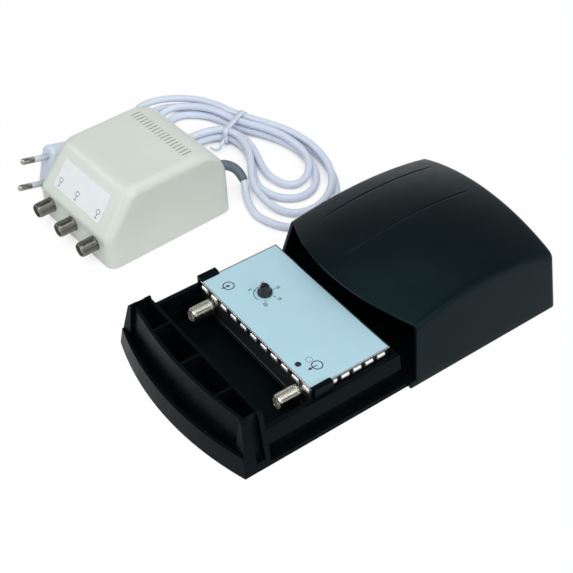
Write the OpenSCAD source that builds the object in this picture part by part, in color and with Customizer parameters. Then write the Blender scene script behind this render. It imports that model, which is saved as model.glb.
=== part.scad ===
// Mast-mounted TV signal amplifier with its mains power supply.
// Millimetres, +Z up. The origin is on the underside of the box tray, below the middle of the module.
// X runs across the box, the cover slides off along +Y.

/* [Mast box tray] */
// Width of the tray at the floor
box_w = 121; // [112:1:132]
// Length from the front corners to the rear wall
box_l = 104; // [100:1:112]
// Length of the bare floor behind the rear wall
tail_l = 36.6; // [32:0.2:42]
// How far the front skirt bulges past the corners
skirt_bulge = 9.8; // [7:0.2:13]
// Height of the front skirt
skirt_h = 13; // [9:0.5:16]
// Inward lean of the sides per millimetre of height
side_lean = 0.226; // [0.2:0.002:0.24]
// Backward lean of the front per millimetre of height
front_lean = 0.106; // [0.06:0.002:0.14]
// Thickness of the tray walls
tray_wall = 2; // [1.6:0.1:2.4]
// Thickness of the tray floor
floor_t = 2.5; // [2:0.1:3]
// Height of the side and rear walls
rim_h = 22; // [20:0.5:23]
// Height of the lower edge of the thick rim
rim_low = 13; // [12:0.5:15]
// Height of the corner posts
post_h = 33.5; // [31:0.5:34]
// Height of the cable compartments
bay_h = 32; // [28:0.5:32.5]
// Length of the cable compartments behind the front corners
bay_l = 14.6; // [13:0.2:17]
// Height of the cable gap under the front wall of the compartments
bay_gap = 11; // [9:0.5:13]
// Diameter of the cable holes
cable_hole_d = 8; // [7:0.5:9]
// Distance between the wall screw holes across the box
screw_dx = 84; // [70:1:90]
// Distance between the wall screw holes along the box
screw_dy = 56; // [50:1:58]
// Diameter of the wall screw holes
screw_hole_d = 4.5; // [3.5:0.1:5.5]
// Length of a module clip
clip_l = 12; // [8:0.5:14]
// How far a clip reaches over the module lid
clip_reach = 1.6; // [1:0.1:2]

/* [Cover] */
// Thickness of the cover
cover_wall = 2; // [1.6:0.1:2.4]
// Length of the sides of the cover
cover_l = 105.6; // [100:0.1:108]
// Gap between the cover and the tray
cover_gap = 0.4; // [0.3:0.05:0.8]
// Height of the crown of the cover
crown_h = 51.7; // [51:0.1:56]
// Radius of the crown along the box
crown_r_along = 217; // [200:1:260]
// Radius of the crown across the box
crown_r_across = 147; // [140:1:180]
// Radius of the front edge of the visor, seen from above
visor_r = 103; // [95:1:120]
// How far the visor stands past the front edges of the sides
visor_reach = 11.7; // [9:0.1:13]
// Height of the inner runners of the cover
runner_h = 7.5; // [5:0.5:8]
// Distance that the cover is slid off
cover_out = 110.5; // [104:0.1:120]

/* [Amplifier module] */
// Width of the module
module_w = 102; // [96:0.5:103]
// Length of the module
module_l = 52; // [48:0.5:53]
// Height of the module
module_h = 20; // [18.5:0.1:20.6]
// Height of the underside of the module
module_z = 6.6; // [6:0.1:7.5]
// Thickness of the tinplate
tin_t = 0.6; // [0.4:0.05:0.8]
// Distance between spring fingers on the front and the back
finger_pitch = 9.3; // [8.5:0.1:9.4]
// Distance between spring fingers on the sides
side_finger_pitch = 8; // [7.5:0.1:8.4]
// Width of a spring finger
finger_w = 6; // [5:0.1:6.4]
// Length of a spring finger
finger_l = 5; // [4:0.1:5.2]
// Distance of the sockets from the middle of the module
socket_x = 40; // [36:0.5:42]
// Height of the socket axes
socket_z = 16.4; // [15.8:0.1:16.6]
// Length of the socket barrels
socket_l = 13; // [11:0.5:14]
// Place of the attenuator across the module
knob_x = -21.4; // [-26:0.2:-15]
// Place of the attenuator along the module
knob_y = -3; // [-8:0.2:4]
// Diameter of the foot of the knob
knob_d = 8.5; // [7:0.1:9.5]
// Height of the knob
knob_h = 5.5; // [4:0.1:6.5]
// Diameter of the attenuator shaft
shaft_d = 3; // [2.6:0.1:3.6]

/* [Standard sockets and plug] */
// Outer diameter of an F socket
f_d = 9.5; // [9.4:0.025:9.55]
// Bore of an F socket
f_bore = 7; // [6.4:0.1:7.4]
// Diameter of a plug pin
pin_d = 4; // [3.9:0.05:4.1]
// Distance between the plug pins
pin_pitch = 18.6; // [18.2:0.1:19.2]
// Length of a plug pin
pin_l = 19; // [18.5:0.1:19.5]
// Length of the sleeve on a plug pin
sleeve_l = 10; // [9:0.5:11]

/* [Power supply] */
// Width of the supply at its foot
supply_w = 78; // [76:0.5:80]
// Depth of the supply
supply_l = 91; // [89:0.5:93]
// Height of the supply
supply_h = 47.5; // [46:0.5:53]
// Height of the upright front below the slope
supply_front_h = 19.5; // [19:0.5:22]
// Depth of the sloped front
slope_l = 21; // [19:0.5:24]
// Narrowing of each side from foot to top
supply_draft = 3; // [2:0.25:4]
// Wall of the supply housing
supply_wall = 2; // [1.6:0.1:2.4]
// Distance between the supply sockets
supply_pitch = 23.5; // [21:0.5:24]
// Height of the supply socket axes
supply_socket_z = 12.5; // [12:0.25:13]
// Length of the supply socket barrels
supply_socket_l = 11; // [9:0.5:12]
// Number of ventilation slots
vent_n = 18; // [10:1:19]
// Distance between ventilation slots
vent_pitch = 3.1; // [2.8:0.1:3.2]
// Place of the supply across the set
supply_x = -155.3; // [-156.5:0.1:-154]
// Place of the supply along the set
supply_y = -5.4; // [-6:0.1:-4]
// Turn of the supply about its upright axis
supply_turn = 3.4; // [3:0.1:4]

/* [Mains lead] */
// Diameter of the mains lead
lead_d = 4.8; // [4.2:0.1:5]
// Turn of the hank about its upright axis
hank_turn = 26; // [25:0.5:27]

/* [Hidden] */
$fn = 64;

// Colours
black = [0.09, 0.10, 0.11];
tin = [0.80, 0.81, 0.80];
nickel = [0.42, 0.43, 0.40];
cream = [0.86, 0.87, 0.82];
white = [0.93, 0.94, 0.96];
board_green = [0.10, 0.32, 0.18];
copper = [0.72, 0.42, 0.22];

// Small clearances and reaches shared by several pieces
eps = 0.01;
loose = 0.3;
snug = 0.1;
running = 0.06;
far = 400;

// Tray
rear_gap = 1.4;
box_rear = module_l / 2 + rear_gap + tray_wall;
box_front = box_rear - box_l;
tail_end = box_rear + tail_l;
half_w = box_w / 2;
skirt_r = (half_w * half_w + skirt_bulge * skirt_bulge) / (2 * skirt_bulge);
skirt_mid = box_front - skirt_bulge;
bay_wall_r = 253;
bay_wall_set = 7;
bay_wall_mid = skirt_mid + bay_wall_set;
bay_rear = box_front + bay_l;
bay_t = 1.6;
bay_pitch = 29;
web_out = module_w / 2 + 3.5;
web_in = web_out - tray_wall;
post_w = 10;
post_in = half_w - post_w;
post_end = bay_rear + tray_wall;
post_cut = 1.2;
groove_w = 5.5;
groove_deep = 3.5;
groove_foot = 5;
ledge_z = 12;
ledge_w = 1.6;
ledge_t = 1.6;
detent_h = 1;
detent_w = 1.2;
detents = [[-1, 13.4], [15.1, 25.8]];
screw_mid = -20;
seat_w = 8;
lid_top = module_z + module_h;
clip_t = 1.6;
clip_top = 1.9;
clip_front = -module_l / 2;

// Cover, drawn closed and then moved
cover_half = half_w + cover_gap + cover_wall;
cover_back = box_rear + cover_gap + cover_wall;
cover_front = cover_back - cover_l;
crown_y = (cover_front + cover_back) / 2 - 0.4;
visor_mid = cover_front - visor_reach;
runner_z = floor_t + detent_h + 2 * cover_gap;
runner_in = web_out + 2 * cover_gap;
runner_start = post_end + 1;
lug_l = 4;
lug_h = 3;

// Module
frame_w = module_w - 2 * (tin_t + snug);
frame_l = module_l - 2 * (tin_t + snug);
frame_t = 0.8;
board_t = 1.6;
board_top = socket_z - 0.8;
board_w = frame_w - 2 * frame_t - 2 * snug;
board_l = frame_l - 2 * frame_t - 2 * snug;
finger_n = floor((module_w - finger_w) / finger_pitch) + 1;
side_finger_n = floor((module_l - finger_w) / side_finger_pitch) + 1;
bump_r = 1.6;
bump_l = 4.8;
bump_set = 0.9;
bump_drop = 3;
label_t = 0.2;
label_edge = 0.8;
neck_d = f_d - 1.9;
neck_end = -frame_l / 2 + frame_t;
socket_back = -module_l / 2 - 1.2;
contact_d = 1;
knob_top_d = 5;
knob_lift = 0.3;
knob_foot_h = 1.4;
pot_h = 6;
pot_w = 10;
dot_x = module_w / 2 - 18.5;
dot_y = 5.3 - module_l / 2;
dot_d = 2.8;
coil_r = 2;
coil_y = 8;
coil_places = [-44, -34, 12, 24];
transistor_places = [-8, 40];
capacitor_edge = 3.4;
capacitor_places = [capacitor_edge - board_w / 2, -12, 8, 20, board_w / 2 - capacitor_edge];
capacitor_rows = [-14, 18];
splitter_at = [32, 4];

// Supply, drawn about the middle of its foot
slope_turn = atan2(supply_h - supply_front_h, slope_l);
supply_inner_w = supply_w - 2 * supply_wall;
supply_inner_l = supply_l - 2 * supply_wall;
plate_t = 2.2;
corner_r = 6;
boss_d = 7;
pillar_d = 5;
boss_x = supply_inner_w / 2 - 6;
boss_y = supply_inner_l / 2 - 6;
supply_board_w = supply_inner_w - 5;
supply_board_l = 2 * boss_y - boss_d - 4;
supply_board_top = supply_socket_z - 0.8;
core_w = 42;
core_l = 18;
core_h = 29;
core_y = 8;
core_z = supply_board_top;
window_w = 7;
window_h = 21;
window_z = core_z + (core_h - window_h) / 2;
limb_w = 14;
bobbin_t = 1;
nut_t = 2;
nut_af = 12;
label_w = 47.5;
label_h = 18.6;
label_shift = -1.2;
label_share = 0.45;
roof_edge_r = 6;
roof_back_r = 22.5;
vent_l = 6.8;
vent_w = 1;
vent_y = 22;
lead_x = 16;
diode_at = [-28, -22];
diode_pitch = 3.6;
diode_d = 2.7;
diode_l = 5.2;
big_cap_at = [10, -21];
big_cap_d = 10;
big_cap_h = 12;
regulator_at = [20, -22];
regulator_size = [10, 4.6, 15];
fuse_d = 4;
fuse_l = 10;
lead_z = 17;

// Mains lead
lead_r = lead_d / 2;
boot_r = 4.2;
boot_end_r = 2.8;
boot_neck_r = 3.2;
boot_flange_t = 1.5;
boot_straight = 6;
boot_rings = 4;
hank_mid = [-181.1, 86.8];
hank_step = 6.2;
hank_inner = hank_step / 4;
hank_from = -15;
hank_to = 1225;
hank_back = 630;
hank_lift = 5.6;
loop_step = 10;
// Reach of a loop to each side of the tie, its width, and how each reach grows from loop to loop
right_reach = 62.8;
right_grow = 27.1;
left_reach = 40.4;
left_grow = 15.7;
loop_swell = 25.6;
swell_grow = 16.8;
left_swell = 0.93;
waist = 0.16;
// Bend of the hank to each side of the tie, in degrees for each millimetre
right_bend = 0.83;
left_bend = 1.03;
tie_t = 1.1;
tie_w = 4.5;
tie_room = [1.4, 0.5];
twist_radii = [1.5, 1.4, 1.2, 1, 0.8];
floor_clear = 0.3;
lead_low = lead_r + floor_clear;
tie_raise = tie_t + 0.2;
tail_straight = 8;
// Route from the boot to the hank, then from the hank to the plug
exit_route = [[-140.4, 53.1, 16.1], [-136.3, 57.3, 13.5], [-129.5, 58.4, 8.1], [-122.3, 54.8, 3.6],
              [-114.7, 51.7, 3], [-110.4, 50.4, lead_low]];
tail_route = [[-230.6, 37.2, 4.3], [-223.5, 32.6, 2.9], [-216, 27.6, lead_low], [-209.6, 20.6, 3.6],
              [-205.2, 11.6, 6]];
// Route of the twisted end of the tie, with one point past each end
tie_route = [[-176.9, 78, 6.6], [-175.9, 75.5, 6], [-173, 71.6, 4.6], [-171.6, 68.6, 3],
             [-173.4, 66.4, 2], [-177.4, 65.2, 1.6], [-181, 65, 1.5]];

// Plug
plug_at = [-198.9, -42.8];
plug_turn = 4.5;
plug_tilt = 15;
plug_roll = 90;
plug_w = 33;
plug_t = 13.7;
plug_l = 36;
plug_grip_l = 17;
plug_end_w = 13;
plug_lift = 0.05;
plug_z = ((plug_w - plug_t) / 2 * sin(plug_roll) + plug_t / 2) * cos(plug_tilt)
    + plug_grip_l * sin(plug_tilt) + plug_lift;
core_d = pin_d - 1;
pin_set = 6;
pin_tip = 1;
sleeve_step = 0.5;

// Shapes shared by several pieces

// Points of an arc about c from angle a to angle b
function arc(c, r, a, b, n = 6) = [for (i = [0:n])
    let (t = a + (b - a) * i / n) c + r * [cos(t), sin(t)]];

// Solid between the leaning sides of the box, drawn in by inset
module side_prism(inset = 0) {
    low = half_w - inset;
    high = low - side_lean * 60;
    rotate([90, 0, 0]) translate([0, 0, -far / 2]) linear_extrude(far)
        polygon([[-low, 0], [low, 0], [high, 60], [-high, 60]]);
}

// Solid inside the leaning front of a curved wall whose middle stands at y = mid on the floor
module front_round(mid, r, h) {
    translate([0, mid + r, 0]) cylinder(h = h, r1 = r, r2 = r - front_lean * h, $fn = 200);
}

module both_sides() {
    children();
    mirror([1, 0, 0]) children();
}

// Rectangle about the origin with rounded corners
module round_rect(w, l, r) {
    square([w - 2 * r, l], center = true);
    square([w, l - 2 * r], center = true);
    for (x = [-1, 1], y = [-1, 1]) translate([x * (w / 2 - r), y * (l / 2 - r)]) circle(r = r);
}

module slab(low, high) {
    translate(low) cube(high - low);
}

// F socket barrel along -Y with its mouth at y = 0, its back at y = l and a neck behind it
module f_barrel(l, neck) {
    difference() {
        union() {
            rotate([-90, 0, 0]) cylinder(h = l, d = f_d);
            rotate([-90, 0, 0]) cylinder(h = l + neck, d = neck_d);
        }
        translate([0, -eps, 0]) rotate([-90, 0, 0]) cylinder(h = l - 1.5 + eps, d = f_bore);
        rotate([-90, 0, 0]) cylinder(h = l + neck + eps, d = 3 * contact_d + 2 * snug);
    }
}

// Insulator in the bore of an F socket, set back from its mouth
module f_insulator(l, neck) {
    difference() {
        union() {
            translate([0, 2, 0]) rotate([-90, 0, 0]) cylinder(h = l - 3.5 - snug, d = f_bore - 2 * snug);
            translate([0, 2, 0]) rotate([-90, 0, 0]) cylinder(h = l + neck - 2, d = 3 * contact_d);
        }
        rotate([-90, 0, 0]) cylinder(h = l + neck + eps, d = contact_d + 2 * snug);
    }
}

// Centre contact of an F socket, reaching past the neck
module f_contact(l, neck, reach) {
    translate([0, 2.5, 0]) rotate([-90, 0, 0]) cylinder(h = l + neck + reach - 2.5, d = contact_d);
}

// Mast box

module tray_floor() {
    intersection() {
        front_round(skirt_mid, skirt_r, floor_t);
        side_prism();
        slab([-half_w, -far, 0], [half_w, tail_end, floor_t]);
    }
}

module tray_skirt() {
    intersection() {
        difference() {
            front_round(skirt_mid, skirt_r, skirt_h);
            translate([0, 0, -eps]) front_round(skirt_mid + tray_wall, skirt_r, skirt_h + 1);
        }
        side_prism();
        slab([-far, -far, 0], [far, box_front + tray_wall, skirt_h]);
    }
}

module bay_front_wall() {
    intersection() {
        difference() {
            front_round(bay_wall_mid, bay_wall_r, bay_h);
            translate([0, 0, -eps]) front_round(bay_wall_mid + tray_wall, bay_wall_r, bay_h + 1);
        }
        slab([-post_in - 1, -far, bay_gap], [post_in + 1, bay_rear, bay_h]);
    }
}

// Walls between the compartments, each as long as the space behind the front wall
module bay_dividers() {
    intersection() {
        front_round(bay_wall_mid, bay_wall_r, bay_h);
        for (x = [-bay_pitch, 0, bay_pitch])
            slab([x - bay_t / 2, -far, 0], [x + bay_t / 2, bay_rear + 1, bay_h]);
    }
}

module bay_rear_wall() {
    outer = (bay_pitch + post_in) / 2;
    difference() {
        slab([-post_in - 1, bay_rear, 0], [post_in + 1, bay_rear + tray_wall, bay_h]);
        for (x = [-outer, -bay_pitch / 2, bay_pitch / 2, outer])
            translate([x, bay_rear - 1, floor_t + 1 + cable_hole_d / 2]) rotate([-90, 0, 0])
                cylinder(h = tray_wall + 2, d = cable_hole_d);
    }
}

// Leaning corner post with a cut top edge and an upright groove in its outer face
module corner_post() {
    cut = half_w - side_lean * post_h - post_cut + post_h;
    difference() {
        intersection() {
            side_prism();
            slab([post_in, -far, 0], [far, post_end, post_h]);
            rotate([90, 0, 90]) linear_extrude(far) polygon([[box_front, 0], [0, 0], [0, post_h],
                [box_front + front_lean * post_h, post_h]]);
            rotate([90, 0, 0]) translate([0, 0, -far / 2]) linear_extrude(far)
                polygon([[0, -1], [cut + 1, -1], [cut - post_h - 1, post_h + 1], [0, post_h + 1]]);
        }
        difference() {
            slab([post_in + 1, post_end - 3 - groove_w, groove_foot], [far, post_end - 3, post_h + 1]);
            side_prism(groove_deep);
        }
    }
}

module side_wall() {
    slab([web_in, post_end - 1, 0], [web_out, box_rear, rim_h]);
    intersection() {
        side_prism();
        slab([web_in, post_end - 1, rim_low], [far, box_rear, rim_h]);
    }
    slab([web_in - ledge_w, post_end - 1, ledge_z - ledge_t], [web_in + eps, -module_l / 2 - 2, ledge_z]);
    for (d = detents)
        slab([half_w - 2 * detent_w - 1, d[0], floor_t - eps],
             [half_w - detent_w - 1, d[1], floor_t + detent_h]);
}

// Snap clip on a side wall that hooks over the edge of the module lid
module module_clip() {
    slab([web_in, clip_front, rim_h - eps], [web_in + clip_t, clip_front + clip_l, lid_top + clip_top]);
    hook_in = module_w / 2 - clip_reach;
    translate([0, clip_front + clip_l, 0]) rotate([90, 0, 0]) linear_extrude(clip_l)
        polygon([[hook_in, lid_top + label_t + snug], [web_in + eps, lid_top + label_t + snug],
                 [web_in + eps, lid_top + clip_top], [hook_in + 1.4, lid_top + clip_top]]);
}

module module_seats() {
    x = module_w / 2 - seat_w;
    y = module_l / 2 - seat_w;
    for (i = [-1, 1], j = [-1, 1])
        translate([i * x - seat_w / 2, j * y - seat_w / 2, floor_t - eps])
            cube([seat_w, seat_w, module_z - floor_t + eps]);
}

module screw_places() {
    for (x = [-1, 1], y = [-1, 1])
        translate([x * screw_dx / 2, screw_mid + y * screw_dy / 2, 0]) children();
}

module base_tray() {
    color(black) difference() {
        union() {
            tray_floor();
            tray_skirt();
            bay_front_wall();
            bay_dividers();
            bay_rear_wall();
            both_sides() {
                corner_post();
                side_wall();
                module_clip();
            }
            slab([-web_out, box_rear - tray_wall, 0], [web_out, box_rear, rim_h]);
            module_seats();
        }
        screw_places() translate([0, 0, -1]) cylinder(h = far, d = screw_hole_d);
    }
}

// Space under a crown whose top stands at crown_h, drawn in by inset
module crown(inset) {
    translate([0, crown_y, crown_h - crown_r_along]) rotate([0, 90, 0]) rotate_extrude($fn = 200)
        intersection() {
            translate([crown_r_along - crown_r_across, 0]) circle(r = crown_r_across - inset, $fn = 200);
            translate([0, -half_w - 20]) square([far, 2 * half_w + 40]);
        }
}

// Space behind the front edges and before the back of the cover
module cover_length() {
    lean = front_lean * 70;
    intersection() {
        translate([0, visor_mid + visor_r, -1]) cylinder(h = 71, r = visor_r, $fn = 200);
        slab([-far, -far, -1], [far, 0, 70]);
    }
    rotate([90, 0, 90]) translate([0, 0, -far / 2]) linear_extrude(far)
        polygon([[cover_front, 0], [cover_back, 0], [cover_back, 70], [cover_front + lean, 70]]);
}

module cover_runner() {
    intersection() {
        side_prism(-cover_gap - cover_wall / 2);
        slab([runner_in, runner_start, runner_z], [far, cover_back - cover_wall / 2, runner_z + runner_h]);
    }
}

// Slot below the back wall, for the bare floor behind the tray
module cover_slot() {
    intersection() {
        translate([0, 0, -eps]) side_prism(-cover_gap);
        slab([-far, cover_back - 2 * cover_wall, -1], [far, cover_back + 1, floor_t + cover_gap]);
    }
}

// Small lug that stands forward of the lower front corner
module cover_lug() {
    intersection() {
        side_prism(-cover_gap - cover_wall);
        slab([half_w + cover_gap, cover_front - lug_l, 0], [far, cover_front + lug_l, lug_h]);
    }
}

module cover() {
    color(black) translate([0, cover_out, 0]) {
        difference() {
            intersection() {
                side_prism(-cover_gap - cover_wall);
                crown(0);
                cover_length();
                slab([-far, -far, 0], [far, far, crown_h]);
            }
            intersection() {
                translate([0, 0, -eps]) side_prism(-cover_gap);
                crown(cover_wall);
                slab([-far, -far, -1], [far, cover_back - cover_wall, crown_h]);
            }
            cover_slot();
        }
        both_sides() {
            cover_runner();
            cover_lug();
        }
    }
}

// Amplifier module

module socket_places() {
    for (x = [-1, 1]) translate([x * socket_x, 0, socket_z]) children();
}

module module_frame() {
    z0 = module_z + tin_t + snug;
    z1 = lid_top - tin_t - snug;
    color(tin) difference() {
        union() {
            difference() {
                slab([-frame_w / 2, -frame_l / 2, z0], [frame_w / 2, frame_l / 2, z1]);
                slab([-frame_w / 2 + frame_t, -frame_l / 2 + frame_t, z0 - 1],
                     [frame_w / 2 - frame_t, frame_l / 2 - frame_t, z1 + 1]);
            }
            slab([frame_t, -frame_l / 2 + eps, board_top + snug], [2 * frame_t, frame_l / 2 - eps, z1]);
        }
        socket_places() translate([0, -module_l, 0]) rotate([-90, 0, 0])
            cylinder(h = module_l / 2 + 5, d = neck_d + 2 * snug);
    }
}

// Spring finger that hangs from an edge along X, with a pressed bump on its outer face
module spring_finger() {
    slab([-finger_w / 2, 0, lid_top - finger_l - tin_t], [finger_w / 2, tin_t, lid_top]);
    translate([-bump_l / 2, bump_set, lid_top - bump_drop]) rotate([0, 90, 0])
        cylinder(h = bump_l, r = bump_r);
}

module finger_rows() {
    for (s = [0, 180], i = [0:finger_n - 1])
        rotate(s) translate([(i - (finger_n - 1) / 2) * finger_pitch, -module_l / 2, 0]) spring_finger();
    for (s = [90, 270], i = [0:side_finger_n - 1])
        rotate(s) translate([(i - (side_finger_n - 1) / 2) * side_finger_pitch, -module_w / 2, 0])
            spring_finger();
}

module module_lid() {
    color(tin) difference() {
        union() {
            slab([-module_w / 2, -module_l / 2, lid_top - tin_t], [module_w / 2, module_l / 2, lid_top]);
            difference() {
                finger_rows();
                slab([-module_w / 2 + tin_t, -module_l / 2 + tin_t, 0],
                     [module_w / 2 - tin_t, module_l / 2 - tin_t, lid_top]);
            }
        }
        translate([knob_x, knob_y, 0]) cylinder(h = far, d = shaft_d + 1.4);
        translate([dot_x, dot_y, 0]) cylinder(h = far, d = dot_d);
    }
}

module module_bottom() {
    skirt = 3.5;
    color(tin) difference() {
        slab([-module_w / 2, -module_l / 2, module_z], [module_w / 2, module_l / 2, module_z + skirt]);
        slab([-module_w / 2 + tin_t, -module_l / 2 + tin_t, module_z + tin_t],
             [module_w / 2 - tin_t, module_l / 2 - tin_t, module_z + skirt + 1]);
    }
}

module lid_label() {
    color([0.67, 0.83, 0.87]) difference() {
        slab([-module_w / 2 + label_edge, -module_l / 2 + label_edge, lid_top],
             [module_w / 2 - label_edge, module_l / 2 - label_edge, lid_top + label_t]);
        translate([knob_x, knob_y, 0]) cylinder(h = far, d = shaft_d + 1.4);
        translate([dot_x, dot_y, 0]) cylinder(h = far, d = dot_d);
    }
}

socket_mouth = socket_back - socket_l;
socket_neck = neck_end - socket_back;

module f_socket_at(x) {
    translate([x, socket_mouth, socket_z]) f_barrel(socket_l, socket_neck);
}

module input_socket() { color(nickel) f_socket_at(-socket_x); }
module output_socket() { color(nickel) f_socket_at(socket_x); }

module socket_insulators() {
    color(white) socket_places() translate([0, socket_mouth, 0]) f_insulator(socket_l, socket_neck);
}

module socket_contacts() {
    color(copper) socket_places() translate([0, socket_mouth, 0]) f_contact(socket_l, socket_neck, 4);
}

module module_board() {
    color(board_green)
        slab([-board_w / 2, -board_l / 2, board_top - board_t], [board_w / 2, board_l / 2, board_top]);
}

module rf_coils() {
    color(copper) for (x = coil_places) translate([x, coil_y, board_top])
        rotate_extrude() translate([coil_r, 0]) square([1, 4.5]);
}

module rf_transistors() {
    color(black) for (x = transistor_places) translate([x - 2.5, -8, board_top]) cube([5, 5, 2]);
}

module rf_capacitors() {
    color([0.75, 0.52, 0.25]) for (x = capacitor_places, y = capacitor_rows)
        translate([x - 1, y - 2, board_top]) cube([2, 4, 3]);
}

module output_splitter() {
    color([0.25, 0.25, 0.27]) translate([splitter_at[0], splitter_at[1], board_top]) difference() {
        cylinder(h = 4, r = 3.5);
        translate([0, 0, -1]) cylinder(h = 6, r = 1.6);
    }
}

pot_top = lid_top - tin_t - snug;

module attenuator_body() {
    color([0.16, 0.24, 0.40]) difference() {
        slab([knob_x - pot_w / 2, knob_y - pot_w / 2, board_top],
             [knob_x + pot_w / 2, knob_y + pot_w / 2, pot_top]);
        translate([knob_x, knob_y, pot_top - pot_h]) cylinder(h = far, d = shaft_d + 2 * running);
    }
}

module attenuator_knob() {
    foot = lid_top + label_t + knob_lift;
    color(black) translate([knob_x, knob_y, 0]) difference() {
        union() {
            translate([0, 0, foot]) cylinder(h = knob_foot_h, d = knob_d);
            translate([0, 0, foot + knob_foot_h - eps])
                cylinder(h = knob_h - knob_foot_h, d1 = knob_d - 1.6, d2 = knob_top_d);
            translate([0, 0, pot_top - pot_h + running]) cylinder(h = foot - pot_top + pot_h, d = shaft_d);
        }
        translate([-0.5, -knob_d, foot + knob_h - 1]) cube([1, 2 * knob_d, 2]);
    }
}

module test_plug() {
    color(black) translate([dot_x, dot_y, 0]) {
        translate([0, 0, lid_top - 2]) cylinder(h = 2 + label_t, d = dot_d - 2 * snug);
        translate([0, 0, lid_top + label_t]) cylinder(h = 0.5, d1 = dot_d + 0.8, d2 = dot_d);
    }
}

// Power supply

module at_supply() {
    translate([supply_x, supply_y, 0]) rotate(supply_turn) children();
}

// Side outline of the supply, drawn in by inset, from z = low
function supply_side(i, low) = let (
    front = -supply_l / 2 + i,
    back = supply_l / 2 - i,
    top = supply_h - i,
    knee = [front, supply_front_h - i * tan((90 - slope_turn) / 2)],
    brow = [-supply_l / 2 + slope_l + i * tan(slope_turn / 2), top],
    brow_r = 9 - i,
    brow_set = brow_r * tan(slope_turn / 2),
    back_r = roof_back_r - i)
    concat([[front, low], knee],
        arc([brow[0] + brow_set, top - brow_r], brow_r, 90 + slope_turn, 90),
        arc([back - back_r, top - back_r], back_r, 90, 0), [[back, low]]);

// Front outline of the supply, drawn in by inset, from z = low
function supply_front(i, low) = let (
    foot = supply_w / 2 - i,
    head = supply_w / 2 - supply_draft - i,
    r = roof_edge_r - i)
    concat([[-foot, low]], arc([-head + r, supply_h - i - r], r, 180, 90),
        arc([head - r, supply_h - i - r], r, 90, 0), [[foot, low]]);

module supply_block(i, low) {
    intersection() {
        rotate([90, 0, 90]) translate([0, 0, -supply_w]) linear_extrude(2 * supply_w)
            polygon(supply_side(i, low));
        rotate([90, 0, 0]) translate([0, 0, -supply_l]) linear_extrude(2 * supply_l)
            polygon(supply_front(i, low));
        translate([0, 0, low]) linear_extrude(supply_h)
            round_rect(supply_w - 2 * i, supply_l - 2 * i, corner_r - i);
    }
}

module boss_places() {
    for (x = [-1, 1], y = [-1, 1]) translate([x * boss_x, y * boss_y, 0]) children();
}

module supply_socket_places() {
    for (i = [-1:1]) translate([i * supply_pitch, -supply_l / 2, supply_socket_z]) children();
}

module supply_vents() {
    for (i = [0:vent_n - 1]) {
        x = (i - (vent_n - 1) / 2) * vent_pitch - vent_w / 2;
        translate([x, vent_y - vent_l / 2, supply_h - supply_wall - 2])
            cube([vent_w, vent_l, supply_wall + 4]);
    }
}

module supply_shell() {
    color(cream) at_supply() difference() {
        union() {
            difference() {
                supply_block(0, 0);
                supply_block(supply_wall, -1);
            }
            intersection() {
                supply_block(supply_wall / 2, plate_t + snug);
                boss_places() cylinder(h = supply_h, d = boss_d);
            }
        }
        boss_places() translate([0, 0, -1]) cylinder(h = 12, d = 2.6);
        supply_socket_places() translate([0, -1, 0]) rotate([-90, 0, 0])
            cylinder(h = supply_wall + 2, d = neck_d + 2 * snug);
        translate([lead_x, supply_l / 2 + 1, lead_z]) rotate([90, 0, 0])
            cylinder(h = supply_wall + 2, r = boot_neck_r + snug);
        supply_vents();
    }
}

module supply_base() {
    color(cream) at_supply() difference() {
        union() {
            linear_extrude(plate_t)
                round_rect(supply_inner_w - 2 * loose, supply_inner_l - 2 * loose, corner_r - supply_wall);
            for (x = [-1, 1], y = [-1, 1])
                translate([x * (supply_board_w / 2 - pillar_d), y * (supply_board_l / 2 - pillar_d), 0])
                    cylinder(h = supply_board_top - board_t, d = pillar_d);
        }
        boss_places() translate([0, 0, -1]) cylinder(h = plate_t + 2, d = 3.4);
        boss_places() translate([0, 0, -1]) cylinder(h = 2, d = 6.4);
    }
}

module supply_label() {
    mid_z = supply_front_h + (supply_h - supply_front_h) * label_share;
    mid_y = -supply_l / 2 + slope_l * label_share;
    color(white) at_supply() translate([label_shift, mid_y, mid_z]) rotate([slope_turn, 0, 0])
        translate([-label_w / 2, -label_h / 2, 0]) cube([label_w, label_h, label_t]);
}

module supply_socket(i) {
    color(nickel) at_supply() translate([i * supply_pitch, -supply_l / 2 - supply_socket_l, supply_socket_z])
        f_barrel(supply_socket_l, supply_wall + nut_t + 1);
}

module supply_socket_1() { supply_socket(-1); }
module supply_socket_2() { supply_socket(0); }
module supply_socket_3() { supply_socket(1); }

module supply_insulators() {
    color(white) at_supply() supply_socket_places() translate([0, -supply_socket_l, 0])
        f_insulator(supply_socket_l, supply_wall + nut_t + 1);
}

module supply_contacts() {
    reach = supply_l / 2 - supply_wall - nut_t - 1 - supply_board_l / 2 + 4;
    color(copper) at_supply() supply_socket_places() translate([0, -supply_socket_l, 0])
        f_contact(supply_socket_l, supply_wall + nut_t + 1, reach);
}

module supply_nuts() {
    color(nickel) at_supply() supply_socket_places() translate([0, supply_wall, 0]) rotate([-90, 0, 0])
        difference() {
            cylinder(h = nut_t, d = nut_af / cos(30), $fn = 6);
            translate([0, 0, -1]) cylinder(h = nut_t + 2, d = neck_d + 2 * snug);
        }
}

module supply_board() {
    color(board_green) at_supply()
        slab([-supply_board_w / 2, -supply_board_l / 2, supply_board_top - board_t],
             [supply_board_w / 2, supply_board_l / 2, supply_board_top]);
}

module transformer_core() {
    color([0.30, 0.30, 0.31]) at_supply() difference() {
        slab([-core_w / 2, core_y - core_l / 2, core_z], [core_w / 2, core_y + core_l / 2, core_z + core_h]);
        for (s = [-1, 1])
            translate([s * (limb_w + window_w) / 2 - window_w / 2, core_y - core_l, window_z])
                cube([window_w, 2 * core_l, window_h]);
    }
}

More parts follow.
